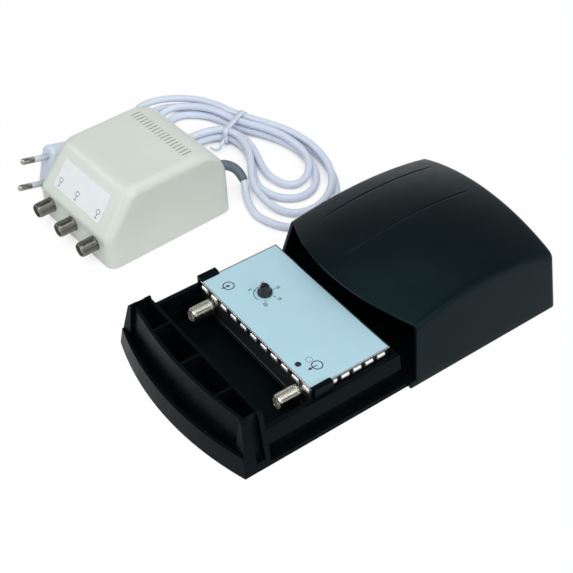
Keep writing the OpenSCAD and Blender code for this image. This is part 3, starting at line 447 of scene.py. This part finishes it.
curve = bpy.data.curves.new("mains_lead", "CURVE")
curve.dimensions = "3D"
curve.bevel_depth = LEAD_R * MM
curve.bevel_resolution = 6
curve.use_fill_caps = True
line = curve.splines.new("POLY")
line.points.add(len(lead_line) - 1)
for point, p in zip(line.points, lead_line):
    point.co = (p[0] * MM, p[1] * MM, p[2] * MM, 1)
line.use_smooth = True
lead = bpy.data.objects.new("mains_lead", curve)
curve.materials.append(PVC)
scene.collection.objects.link(lead)
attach(lead, "base")
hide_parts("lead_exit", "lead_hank", "lead_tail")


# Strain relief: a smooth boot with a collar at the housing and a soft lip at its end

BOOT_R, BOOT_TAPER = 3.7, 0.85
COLLAR_R, COLLAR_STEP, COLLAR_FROM, COLLAR_TO = 4.15, 0.45, 0.05, 0.1
LIP_FROM, LIP_DROP = 0.94, 0.3


def boot_ring(i):
    t = i / (len(boot_line) - 1)
    r = BOOT_R - BOOT_TAPER * t
    if t < COLLAR_TO:
        r = COLLAR_R - COLLAR_STEP * smooth(COLLAR_FROM, COLLAR_TO, t)
    if t > LIP_FROM:
        r -= LIP_DROP * (t - LIP_FROM) / (1 - LIP_FROM)
    return circle(r, 24)


boot = sweep("lead_boot", boot_line, boot_ring, GREY_PVC, "base", ["strain_relief"])


# Twist tie: a ribbon round the waist of the hank and its two ends twisted together

TIE_LEFT, TIE_RIGHT, TIE_LOW, TIE_HIGH, TIE_R = -12.2, 14.4, 1.1, 12.5, 3.0
RIBBON = [(-2.0, -0.15), (-1.9, 0.2), (-0.5, 0.25), (0, 0.5), (0.5, 0.25), (1.9, 0.2), (2.0, -0.15), (0, -0.3)]


def tie_loop():
    r = TIE_R
    corners = ((TIE_RIGHT - r, TIE_HIGH - r, 0), (TIE_LEFT + r, TIE_HIGH - r, 90),
               (TIE_LEFT + r, TIE_LOW + r, 180), (TIE_RIGHT - r, TIE_LOW + r, 270))
    pts = []
    for cx, cz, a0 in corners:
        for k in range(9):
            a = math.radians(a0 + 90 * k / 8)
            pts.append((cx + r * math.cos(a), cz + r * math.sin(a), math.cos(a), math.sin(a)))
    return pts


WAIST = Matrix.Translation((*HANK_MID, 0)) @ Matrix.Rotation(math.radians(HANK_TURN), 4, "Z")
loop = tie_loop()
n = len(RIBBON)
verts, faces = [], []
for i, (y, z, ny, nz) in enumerate(loop):
    verts += [WAIST @ Vector((u, y + ny * v, z + nz * v)) for u, v in RIBBON]
    ahead = ((i + 1) % len(loop)) * n
    for k in range(n):
        after = (k + 1) % n
        faces.append((i * n + k, i * n + after, ahead + after, ahead + k))
tie = add_mesh("twist_tie", verts, faces, TIE, "base", ["lead_tie"])
outward(tie)
TIE_ENDS = [(-175.9, 75.5, 6), (-173, 71.6, 4.6), (-171.6, 68.6, 3), (-173.4, 66.4, 2.2), (-177.4, 65.2, 2.1)]
TWIST, TWIST_TO, TWIST_W, TWIST_TAPER, TWIST_T = 14, 0.55, 1.5, 0.5, 0.55
tie_line = spline(TIE_ENDS, 12)


def twist_ring(i):
    t = i / (len(tie_line) - 1)
    turn = TWIST * min(t, TWIST_TO)
    w, h = TWIST_W - TWIST_TAPER * t, TWIST_T
    return [(w * math.cos(a) * math.cos(turn) - h * math.sin(a) * math.sin(turn),
             w * math.cos(a) * math.sin(turn) + h * math.sin(a) * math.cos(turn))
            for a in [2 * math.pi * k / 12 for k in range(12)]]


tie_end = sweep("twist_end", tie_line, twist_ring, TIE, "base")


# Cover: a domed shell with rounded shoulders, a visor and two fine grooves in its top

C_HALF, C_BACK, C_FRONT, C_WALL = 62.9, 142.3, 36.7, 2
SIDE_LEAN, FRONT_LEAN = 0.226, 0.106
CROWN_Y, CROWN_H, R_ALONG, R_ACROSS = 89.1, 51.7, 217, 147
VISOR_MID, VISOR_R = 25.0, 103
SHOULDER, BACK_R = 3.2, 3.2
TOP_HALF = 46
ROWS, BACK_ROWS = 44, 8
GROOVES = ((-38, 54, 130), (-3.5, 42, 127))
GROOVE_STEPS, GROOVE_MID, GROOVE_EDGE = (-0.9, -0.35, 0, 0.35, 0.9), 0.5, 0.12
COVER_EDGE = 0.8
SLOT_HALF, SLOT_H = 60.86, 2.9


def crown_z(x, y):
    ring = R_ALONG - R_ACROSS + math.sqrt(R_ACROSS ** 2 - x * x)
    return CROWN_H - R_ALONG + math.sqrt(ring ** 2 - (y - CROWN_Y) ** 2)


groove_xs = [x + d for x, _, _ in GROOVES for d in GROOVE_STEPS]
top_xs = sorted(set(list(range(-TOP_HALF, TOP_HALF + 1, 2)) + groove_xs))
COLUMNS = ([("side", -1, k / 8) for k in range(9)] + [("round", -1, k / 7) for k in range(1, 7)]
           + [("blend", -1, 0), ("blend", -1, 0.5)] + [("top", x, 0) for x in top_xs]
           + [("blend", 1, 0.5), ("blend", 1, 0)] + [("round", 1, 1 - k / 7) for k in range(1, 7)]
           + [("side", 1, 1 - k / 8) for k in range(9)])


def cover_xz(column, y, inset):
    """Place across and height of a column of the shell at a length y, drawn in by inset."""
    kind, side, f = column

    def half(z):
        return C_HALF - inset - SIDE_LEAN * z

    if kind == "top":
        return side, crown_z(side, y) - inset
    z = 38.0
    for _ in range(25):
        z = crown_z(half(z), y) - inset
    x = half(z)
    low = (half(z - SHOULDER), z - SHOULDER)
    xt = x - SHOULDER
    high = (xt, crown_z(xt, y) - inset)
    if kind == "side":
        zz = f * low[1]
        return side * half(zz), zz
    if kind == "round":
        px = (1 - f) ** 2 * low[0] + 2 * f * (1 - f) * x + f * f * high[0]
        pz = (1 - f) ** 2 * low[1] + 2 * f * (1 - f) * z + f * f * high[1]
        return side * px, pz
    xb = xt + (TOP_HALF - xt) * f
    return side * xb, crown_z(xb, y) - inset


def cover_front(x, z):
    y = C_FRONT + FRONT_LEAN * z
    if abs(x) < VISOR_R:
        y = min(y, VISOR_MID + VISOR_R - math.sqrt(VISOR_R ** 2 - x * x))
    return y


verts = []
for j in range(ROWS + BACK_ROWS):
    for column in COLUMNS:
        if j < ROWS:
            v = j / (ROWS - 1)
            y = 50.0
            for _ in range(6):
                x, z = cover_xz(column, y, 0)
                yf = cover_front(x, z)
                y = yf + v * (C_BACK - BACK_R - yf)
            x, z = cover_xz(column, y, 0)
            if column[0] == "top":
                for gx, g0, g1 in GROOVES:
                    if g0 <= y <= g1 and abs(x - gx) < 0.5:
                        z -= GROOVE_MID if abs(x - gx) < 0.1 else GROOVE_EDGE
        else:
            t = (j - ROWS + 1) / BACK_ROWS * math.pi / 2
            y = C_BACK - BACK_R + BACK_R * math.sin(t)
            x, z = cover_xz(column, y, BACK_R * (1 - math.cos(t)))
        verts.append((x, y, z))
cols = len(COLUMNS)
faces = grid(ROWS + BACK_ROWS, cols) + [tuple(range(len(verts) - cols, len(verts)))]
cover = add_mesh("cover_shell", verts, faces, BLACK, "cover", ["cover"])
solid = cover.modifiers.new("wall", "SOLIDIFY")
solid.thickness = C_WALL * MM
solid.offset = -1
bake(cover)
for v in cover.data.vertices:
    v.co.z = max(v.co.z, 0)
slot_v, slot_f = block(-1, 1, C_BACK - 6, C_BACK + 1, -1, SLOT_H)
carve(cover, [(x * (SLOT_HALF - SIDE_LEAN * z), y, z) for x, y, z in slot_v], slot_f)
edges = cover.modifiers.new("edges", "BEVEL")
edges.width = COVER_EDGE * MM
edges.segments = 3
edges.limit_method = "ANGLE"
edges.angle_limit = math.radians(50)
bake(cover)
cover.data.shade_smooth()


# Runners inside the cover and lugs at its front corners

RUN_FROM, RUN_TO, RUN_LOW, RUN_HIGH, RUN_IN, RUN_WALL = 53.5, 140.1, 4.3, 11.8, 55.3, 61.2
RUN_EDGE, RUN_END = 0.5, 0.4
LUG = ((60.9, 0.0), (62.9, 0.0), (62.3, 2.6), (61.9, 3.0), (60.6, 3.0), (60.3, 2.6))
LUG_H, LUG_MID, LUG_FROM, LUG_EDGE_TO, LUG_TO, LUG_END = 3, 61.5, 32.7, 33.1, 40.7, 0.35


def runner_ring(e):
    """Outline of a runner, drawn in by e."""
    return ((RUN_IN + e, RUN_LOW + RUN_EDGE + e), (RUN_IN + RUN_EDGE + e, RUN_LOW + e),
            (RUN_WALL - SIDE_LEAN * RUN_LOW, RUN_LOW + e), (RUN_WALL - SIDE_LEAN * RUN_HIGH, RUN_HIGH - e),
            (RUN_IN + RUN_EDGE + e, RUN_HIGH - e), (RUN_IN + e, RUN_HIGH - RUN_EDGE - e))


for side, tag in ((-1, "left"), (1, "right")):
    verts = []
    for y, e in ((RUN_FROM, RUN_END), (RUN_FROM + RUN_EDGE, 0), (RUN_TO - RUN_EDGE, 0), (RUN_TO, RUN_END)):
        verts += [(side * x, y, z) for x, z in runner_ring(e)]
    faces = grid(4, 6, wrap=True) + [tuple(range(6)), tuple(range(18, 24))]
    runner = add_mesh("cover_runner_" + tag, verts, faces, BLACK, "cover", smooth=False)
    outward(runner)
    verts = []
    for y, e in ((LUG_FROM, LUG_END), (LUG_EDGE_TO, 0), (LUG_TO, 0)):
        verts += [(side * (x - e if x > LUG_MID else x + e), y, min(z, LUG_H - e)) for x, z in LUG]
    faces = grid(3, 6, wrap=True) + [tuple(range(6)), tuple(range(12, 18))]
    lug = add_mesh("cover_lug_" + tag, verts, faces, BLACK, "cover", smooth=False)
    outward(lug)


# Supply housing: stacked rounded sections with a sloped front, a soft brow and vents cut through

KNEE_R, BROW_R, CORNER_R = 5.0, 9.0, 6.0
S_WALL, S_LEAN, FOOT_EDGE = 2, 0.0723, 0.35
ROOF_FROM, ROOF_R, ROOF_IN = 41.5, 6, 30
BACK_FROM, BACK_CURVE, BACK_IN = 25, 22.5, 23


def side_profile():
    """Front of the housing from the foot to the top: upright, knee, slope and brow."""
    pts = [(S_FRONT, 0.0)]
    cut = KNEE_R * math.tan((math.pi / 2 - SLOPE) / 2)
    centre = (S_FRONT + KNEE_R, SLOPE_FOOT - cut)
    for k in range(9):
        a = math.pi - (math.pi / 2 - SLOPE) * k / 8
        pts.append((centre[0] + KNEE_R * math.cos(a), centre[1] + KNEE_R * math.sin(a)))
    cut = BROW_R * math.tan(SLOPE / 2)
    centre = (S_FRONT + SLOPE_RUN + cut, S_TOP - BROW_R)
    for k in range(17):
        a = math.pi / 2 + SLOPE * (1 - k / 16)
        pts.append((centre[0] + BROW_R * math.cos(a), centre[1] + BROW_R * math.sin(a)))
    return np.array(pts)


PROFILE = side_profile()
levels = sorted(set([0, 0.4, 1.5, 5, 10, 14, 16, 17.2, 18, 18.8, 19.6, 20.4, 21.2, 22, 23.5]
                    + [S_TOP - (S_TOP - BACK_FROM) * (k / 24) ** 2 for k in range(25)]))


def supply_ring(z):
    """Outline of the housing at a height, with rounded corners."""
    half, back = S_HALF - S_LEAN * z, S_BACK
    if z > ROOF_FROM:
        half = ROOF_IN + math.sqrt(max(0, ROOF_R ** 2 - (z - ROOF_FROM) ** 2))
    if z > BACK_FROM:
        back = BACK_IN + math.sqrt(max(0, BACK_CURVE ** 2 - (z - BACK_FROM) ** 2))
    front = float(np.interp(z, PROFILE[:, 1], PROFILE[:, 0]))
    if z < 0.4:
        half, back, front = half - FOOT_EDGE, back - FOOT_EDGE, front + FOOT_EDGE
    r = CORNER_R
    ring = []
    for cx, cy, a0 in ((half - r, back - r, 0), (-half + r, back - r, 90),
                       (-half + r, front + r, 180), (half - r, front + r, 270)):
        for k in range(10):
            a = math.radians(a0 + 10 * k)
            ring.append((cx + r * math.cos(a), cy + r * math.sin(a), z))
        ahead = math.radians(a0 + 180)
        ring.append((ring[-1][0] + 1.2 * math.cos(ahead), ring[-1][1] + 1.2 * math.sin(ahead), z))
    return ring


verts = []
for z in levels:
    verts += supply_ring(z)
cols = len(verts) // len(levels)
faces = grid(len(levels), cols, wrap=True) + [tuple(range(len(verts) - cols, len(verts)))]
shell = add_mesh("supply_housing", verts, faces, CREAM, "base", ["supply_shell"],
                 matrix=SUPPLY)
solid = shell.modifiers.new("wall", "SOLIDIFY")
solid.thickness = S_WALL * MM
solid.offset = -1
bake(shell)


# Vents through the roof, and holes for the three sockets and the lead

VENTS, VENT_PITCH, VENT_W, VENT_FROM, VENT_TO, VENT_DEEP = 18, 3.1, 1, 18.6, 25.4, 4.5
SOCKET_HOLE_R, LEAD_HOLE_R, THROUGH = 3.9, 3.3, 3
HOLES = [((i - 1) * SOCKET_PITCH, S_FRONT + 0.5, SOCKET_Z, SOCKET_HOLE_R) for i in range(3)]
HOLES.append((LEAD_X, S_BACK - 0.5, LEAD_Z, LEAD_HOLE_R))
cut_v, cut_f = [], []


def cut(v, f):
    base = len(cut_v)
    cut_v.extend(v)
    cut_f.extend([tuple(base + i for i in face) for face in f])


for i in range(VENTS):
    x = (i - (VENTS - 1) / 2) * VENT_PITCH
    cut(*block(x - VENT_W / 2, x + VENT_W / 2, VENT_FROM, VENT_TO, S_TOP - VENT_DEEP, S_TOP + VENT_DEEP))
for x, y, z, r in HOLES:
    v = [(x + a, along, z + b) for along in (y - THROUGH, y + THROUGH) for a, b in circle(r, 32)]
    cut(v, grid(2, 32, wrap=True) + [tuple(reversed(range(32))), tuple(range(32, 64))])
carve(shell, cut_v, cut_f, SUPPLY)
shell.data.shade_smooth()
crease(shell, 32)


# Threaded F sockets

F_R, F_ROOT, F_BORE, F_NECK_R, F_HOLE = 4.75, 0.26, 3.5, 3.8, 1.6
PITCH, AROUND = 0.79, 48
F_COLLAR, THREAD_FROM, THREAD_TO, THREAD_FADE, F_LEAD, F_FLOOR = 1.2, 1.4, 0.9, 0.8, 0.2, 1.5
F_MOUTH = [(4.35, 0.7, 0), (4.3, 0.25, 0), (4.1, 0, 0), (3.6, 0, 0), (F_BORE, 0.12, 0)]
MODULE_X, MODULE_MOUTH, MODULE_Z = 40, -40.2, 16.4
MODULE_BARREL, SUPPLY_BARREL = (13, 2.7), (11, 5)


def f_socket(name, matrix, length, neck, look, node):
    """Barrel along Y with its mouth at 0: neck, shoulder, a cut thread, mouth and bore."""
    rows = [(F_HOLE, length + neck, 0), (F_NECK_R, length + neck, 0), (F_NECK_R, length + 0.02, 0),
            (F_R, length, 0), (F_R, length - F_COLLAR, 0)]
    h = length - THREAD_FROM
    while h > THREAD_TO:
        rows.append((F_R, h, 1))
        h -= PITCH / 6
    rows += F_MOUTH + [(F_BORE, length - F_FLOOR, 0), (F_HOLE, length - F_FLOOR, 0)]
    verts = []
    for r, h, thread in rows:
        for k in range(AROUND):
            a = 2 * math.pi * k / AROUND
            rr = r
            if thread:
                fade = min(1, (h - THREAD_TO) / THREAD_FADE)
                wave = abs(2 * ((h / PITCH + k / AROUND) % 1) - 1)
                rr = r - F_ROOT * wave * fade - F_LEAD * (1 - fade)
            verts.append((rr * math.cos(a), h, rr * math.sin(a)))
    faces = grid(len(rows), AROUND, wrap=True)
    last = (len(rows) - 1) * AROUND
    faces += [(last + k, last + (k + 1) % AROUND, (k + 1) % AROUND, k) for k in range(AROUND)]
    ob = add_mesh(name, verts, faces, look, "base", [node], matrix=matrix)
    outward(ob)
    crease(ob, 50)


for x, node in ((-MODULE_X, "input_socket"), (MODULE_X, "output_socket")):
    mouth = Matrix.Translation((x, MODULE_MOUTH, MODULE_Z))
    f_socket(node + "_thread", mouth, *MODULE_BARREL, NICKEL, node)
for i in (1, 2, 3):
    mouth = SUPPLY @ Matrix.Translation(((i - 2) * SOCKET_PITCH, S_FRONT - SUPPLY_BARREL[0], SOCKET_Z))
    f_socket(f"supply_socket_{i}_thread", mouth, *SUPPLY_BARREL, SHADED_NICKEL, f"supply_socket_{i}")


# Mains plug: stacked flat-sided sections with a shallow grip

FACE_EDGE, END_EDGE = 1.6, 1.4
GROOVE_FROM, GROOVE_TO, GROOVE_PITCH, GROOVE_DEEP = 4, 16, 3, 0.3
PIN_ROWS = [(0, 18.98), (0.9, 18.9), (1.5, 18.6), (1.85, 18.2), (2.0, 17.6), (2.0, 10.1), (1.9, 10.0),
            (1.5, 10.0), (1.5, 0), (1.5, -6), (0, -6)]
SLEEVE_ROWS = [(1.56, 0.02), (1.95, 0.02), (1.95, 9.6), (1.85, 9.95), (1.56, 9.95)]


def plug_section(y):
    """Outline of the plug at a distance y behind its face."""
    taper = PLUG_W - PLUG_END_W
    w = PLUG_W if y < 15 else PLUG_W - taper * smooth(13, 38, y) * 1.04
    if y > GRIP_L:
        w = min(w, PLUG_W - taper * (y - GRIP_L) / (PLUG_L - GRIP_L))
    e, dip = 0.0, 0.0
    if y < FACE_EDGE:
        e = FACE_EDGE - math.sqrt(max(0, FACE_EDGE ** 2 - (FACE_EDGE - y) ** 2))
    if y > PLUG_L - END_EDGE:
        e = END_EDGE - math.sqrt(max(0, END_EDGE ** 2 - (y - PLUG_L + END_EDGE) ** 2))
    if GROOVE_FROM < y < GROOVE_TO:
        dip = GROOVE_DEEP * smooth(0, 1, math.sin(math.pi * (y - GROOVE_FROM) / GROOVE_PITCH) ** 2)
    w, r = w - 2 * e, PLUG_T / 2 - e
    ring = []
    for sx, a0 in ((1, -90), (-1, 90)):
        for k in range(17):
            a = math.radians(a0 + 180 * k / 16)
            flat = dip * abs(math.sin(a)) ** 6
            ring.append((sx * (w / 2 - r) + r * math.cos(a), y, (r - flat) * math.sin(a)))
    return ring


def turned(x, rows):
    """Rings of a round piece along -Y, from rows of radius and distance."""
    return [(x + a, -h, b) for r, h in rows for a, b in circle(r, 32)]


plug_ys = sorted(set([0, 0.15, 0.4, 0.8, 1.2, 1.6] + [k * 0.5 for k in range(4, 70)]
                     + [34.6, 35, 35.4, 35.7, 35.9, 36]))
verts = []
for y in plug_ys:
    verts += plug_section(y)
cols = len(verts) // len(plug_ys)
faces = grid(len(plug_ys), cols, wrap=True)
faces += [tuple(reversed(range(cols))), tuple(range(len(verts) - cols, len(verts)))]
plug = add_mesh("plug_moulding", verts, faces, PVC, "base", ["plug_body"], matrix=PLUG)
outward(plug)
for x, tag in ((-PIN_X, "upper"), (PIN_X, "lower")):
    pin = add_mesh("plug_pin_" + tag, turned(x, PIN_ROWS), grid(len(PIN_ROWS), 32, wrap=True), STEEL, "base",
                   ["plug_pins"] if tag == "upper" else [], matrix=PLUG)
    outward(pin)
    sleeve = add_mesh("pin_sleeve_" + tag, turned(x, SLEEVE_ROWS), grid(len(SLEEVE_ROWS), 32, wrap=True),
                      SLEEVE, "base", ["pin_sleeves"] if tag == "upper" else [],
                      matrix=PLUG)
    outward(sleeve)


# Moulded and folded pieces that keep their CAD shape, with broken edges

TRAY_EDGE, LID_EDGE, KNOB_EDGE = 0.45, 0.18, 0.25
rounded("base_tray", TRAY_EDGE, "base", SHADED_TRAY_BLACK)
lid = rounded("module_lid", LID_EDGE, "base", TIN)
# The fingers past the lid's top edges take the paler tin copy: painted highlight
lid.data.materials.append(HIGHLIGHT_TIN)
PAST_SIDE, PAST_END = 51.05, 26.05
for poly in lid.data.polygons:
    if abs(poly.center.x) > PAST_SIDE * MM or abs(poly.center.y) > PAST_END * MM:
        poly.material_index = 1
rounded("module_bottom", LID_EDGE, "base", SHADED_TIN)
rounded("attenuator_knob", KNOB_EDGE, "knob", BODY_BLACK)


# Marks on the two labels: plain signs and a dial scale

def flat_mark(name, polys, look, matrix):
    """Print as thin raised forms, drawn in the plane of a label."""
    verts, faces = [], []
    for poly in polys:
        base, n = len(verts), len(poly)
        verts += [(x, y, 0.0) for x, y in poly] + [(x, y, 0.04) for x, y in poly]
        faces.append(tuple(base + n + i for i in range(n)))
        faces += [(base + i, base + (i + 1) % n, base + n + (i + 1) % n, base + n + i) for i in range(n)]
    return add_mesh(name, verts, faces, look, "base", smooth=False, matrix=matrix)


def ring_mark(cx, cy, r, w, a0=0, a1=360, n=40):
    out = []
    for k in range(n):
        a, b = (math.radians(a0 + (a1 - a0) * (k + d) / n) for d in (0, 1))
        out.append([(cx + (r + e * w / 2) * math.cos(t), cy + (r + e * w / 2) * math.sin(t))
                    for t, e in ((a, -1), (a, 1), (b, 1), (b, -1))])
    return out


def bar(x0, y0, x1, y1, w):
    d = math.hypot(x1 - x0, y1 - y0)
    nx, ny = -(y1 - y0) / d * w / 2, (x1 - x0) / d * w / 2
    return [(x0 + nx, y0 + ny), (x0 - nx, y0 - ny), (x1 - nx, y1 - ny), (x1 + nx, y1 + ny)]


STROKES = {"0": "abcdef", "1": "bc", "2": "abged", "5": "afgcd"}
ENDS = {"a": (0, 2, 1, 2), "b": (1, 2, 1, 1), "c": (1, 1, 1, 0), "d": (0, 0, 1, 0), "e": (0, 1, 0, 0),
        "f": (0, 2, 0, 1), "g": (0, 1, 1, 1)}


def number(text, cx, cy, size=0.85, w=0.28):
    out, step = [], size * 1.75
    x0 = cx - (len(text) * step - size * 0.75) / 2
    for i, sign in enumerate(text):
        for stroke in STROKES[sign]:
            a, b, c, d = ENDS[stroke]
            grow = w / 2 if a != c else 0
            rise = w / 2 if b != d else 0
            out.append(bar(x0 + i * step + a * size - grow, cy + (b - 1) * size + rise,
                           x0 + i * step + c * size + grow, cy + (d - 1) * size - rise, w))
    return out


# Module label: an arrow into a ring at the input, an arrow out of a ring at the output, a broken ring at
# the test dot, and a dial with plain numbers round the knob

KNOB, INPUT_RING, OUTPUT_RING, TEST_DOT = (-21.4, -3), (-38.4, -15.6), (38.8, -12.9), (33.2, -14)
DIAL_R, DIAL_FROM, DIAL_STEP, TICK = 6.2, 215, 62.5, 0.6
NUMBER_OUT, NUMBER_UP = 9, 8.6
LABEL_TOP = 26.81
marks = ring_mark(*INPUT_RING, 3.1, 0.6)
marks += [bar(-38.6, -20.2, -38.4, -16.2, 0.55), [(-39.5, -16.6), (-37.3, -16.6), (-38.4, -14.4)]]
marks += ring_mark(*OUTPUT_RING, 2.95, 0.55)
marks += [bar(*OUTPUT_RING, 38.8, -17.2, 0.5), [(37.7, -16.9), (38.8, -19.1), (39.9, -16.9)]]
for k in range(8):
    marks += ring_mark(*TEST_DOT, 1.9, 0.35, 45 * k, 45 * k + 24, 4)
marks += ring_mark(*KNOB, DIAL_R, 0.4, 175, 290, 24)
for k, text in enumerate(("0", "5", "10", "15", "20")):
    a = math.radians(DIAL_FROM - DIAL_STEP * k)
    ca, sa = math.cos(a), math.sin(a)
    near, far = ((KNOB[0] + r * ca, KNOB[1] + r * sa) for r in (DIAL_R - TICK, DIAL_R + TICK))
    marks.append(bar(*near, *far, 0.4))
    marks += number(text, KNOB[0] + NUMBER_OUT * ca, KNOB[1] + NUMBER_UP * sa)
flat_mark("label_marks", marks, INK, Matrix.Translation((0, 0, LABEL_TOP)))


# Supply label: one socket sign above each socket

marks = []
for x in (-19.3, -1.7, 20.1):
    marks += ring_mark(x, -3.6, 1.5, 0.45)
    marks += [bar(x, -5.1, x, -7.6, 0.45), bar(x - 1.2, -7.6, x + 1.2, -7.6, 0.4)]
LABEL_X, LABEL_SHARE, PAPER_T = -1.2, 0.45, 0.21
label_mid = (LABEL_X, S_FRONT + SLOPE_RUN * LABEL_SHARE, SLOPE_FOOT + SLOPE_RISE * LABEL_SHARE)
ON_SLOPE = (SUPPLY @ Matrix.Translation(label_mid) @ Matrix.Rotation(SLOPE, 4, "X")
            @ Matrix.Translation((0, 0, PAPER_T)))
flat_mark("supply_marks", marks, GREY_INK, ON_SLOPE)


# Floor: pale, and white to the camera except in the soft shade close to a piece

floor_me = bpy.data.meshes.new("floor")
floor_me.from_pydata([(-6, -6, 0), (6, -6, 0), (6, 6, 0), (-6, 6, 0)], [], [(0, 1, 2, 3)])
floor = bpy.data.objects.new("floor", floor_me)
scene.collection.objects.link(floor)
floor.location.z = -0.0002
fm = bpy.data.materials.new("floor")
fm.use_nodes = True
nt = fm.node_tree
nt.nodes.clear()
out = nt.nodes.new("ShaderNodeOutputMaterial")
mix = nt.nodes.new("ShaderNodeMixShader")
diffuse = nt.nodes.new("ShaderNodeBsdfDiffuse")
diffuse.inputs["Color"].default_value = (0.86, 0.87, 0.88, 1)
glow = nt.nodes.new("ShaderNodeEmission")
glow.inputs["Color"].default_value = (1, 1, 1, 1)
path = nt.nodes.new("ShaderNodeLightPath")
seen = nt.nodes.new("ShaderNodeMath")
seen.operation = "MAXIMUM"
nt.links.new(path.outputs["Is Camera Ray"], seen.inputs[0])
nt.links.new(path.outputs["Is Glossy Ray"], seen.inputs[1])
through = nt.nodes.new("ShaderNodeMath")
through.operation = "MAXIMUM"
nt.links.new(seen.outputs[0], through.inputs[0])
nt.links.new(path.outputs["Is Transmission Ray"], through.inputs[1])
open_sky = nt.nodes.new("ShaderNodeAmbientOcclusion")
open_sky.inputs["Distance"].default_value = 0.12
open_sky.samples = 8
lit = nt.nodes.new("ShaderNodeMapRange")
lit.inputs["From Min"].default_value = 0.08
lit.inputs["From Max"].default_value = 0.42
lit.inputs["To Max"].default_value = 0.97
nt.links.new(open_sky.outputs["AO"], lit.inputs["Value"])
share = nt.nodes.new("ShaderNodeMath")
share.operation = "MULTIPLY"
nt.links.new(through.outputs[0], share.inputs[0])
nt.links.new(lit.outputs["Result"], share.inputs[1])
nt.links.new(share.outputs[0], mix.inputs["Fac"])
nt.links.new(diffuse.outputs[0], mix.inputs[1])
nt.links.new(glow.outputs[0], mix.inputs[2])
nt.links.new(mix.outputs[0], out.inputs["Surface"])
floor_me.materials.append(fm)


# Surroundings: white to the camera, soft light on the object, and a bright ring under a darker ceiling in gloss

world = bpy.data.worlds.new("studio")
scene.world = world
world.use_nodes = True
wn = world.node_tree
back = wn.nodes["Background"]
back.inputs["Color"].default_value = (0.93, 0.96, 1.0, 1)
wpath = wn.nodes.new("ShaderNodeLightPath")
clear = wn.nodes.new("ShaderNodeMath")
clear.operation = "MAXIMUM"
wn.links.new(wpath.outputs["Is Camera Ray"], clear.inputs[0])
wn.links.new(wpath.outputs["Is Transmission Ray"], clear.inputs[1])
strength = wn.nodes.new("ShaderNodeMapRange")
strength.inputs["To Min"].default_value = 0.36
strength.inputs["To Max"].default_value = 1.0
wn.links.new(clear.outputs[0], strength.inputs["Value"])
around = wn.nodes.new("ShaderNodeTexCoord")
height = wn.nodes.new("ShaderNodeSeparateXYZ")
wn.links.new(around.outputs["Generated"], height.inputs[0])
ceiling = wn.nodes.new("ShaderNodeMapRange")
ceiling.inputs["From Min"].default_value = 0.2
ceiling.inputs["From Max"].default_value = 0.6
ceiling.inputs["To Min"].default_value = 1.0
ceiling.inputs["To Max"].default_value = 0.3
wn.links.new(height.outputs["Z"], ceiling.inputs["Value"])
seen_in_gloss = wn.nodes.new("ShaderNodeMix")
wn.links.new(wpath.outputs["Is Glossy Ray"], seen_in_gloss.inputs["Factor"])
wn.links.new(strength.outputs["Result"], seen_in_gloss.inputs["A"])
wn.links.new(ceiling.outputs["Result"], seen_in_gloss.inputs["B"])
wn.links.new(seen_in_gloss.outputs["Result"], back.inputs["Strength"])


# Lamps

def lamp(name, place, target, size, power, gloss_only=False):
    data = bpy.data.lights.new(name, "AREA")
    data.shape = "RECTANGLE"
    data.size, data.size_y = size
    data.energy = power
    ob = bpy.data.objects.new(name, data)
    ob.location = place
    ob.rotation_euler = (Vector(target) - Vector(place)).to_track_quat("-Z", "Y").to_euler()
    ob.visible_diffuse = not gloss_only
    scene.collection.objects.link(ob)


MIDDLE = (-0.08, 0.02, 0)
lamp("key", (0.6, -0.55, 1.35), MIDDLE, (1.2, 1.0), 11)
lamp("top", (-0.1, 0.0, 1.5), MIDDLE, (1.4, 1.4), 6)
lamp("side", (1.2, 0.1, 0.7), MIDDLE, (0.9, 0.7), 4.5)
lamp("glint", (-0.75, -0.9, 0.6), (0, 0.05, 0.03), (0.9, 0.4), 6, gloss_only=True)
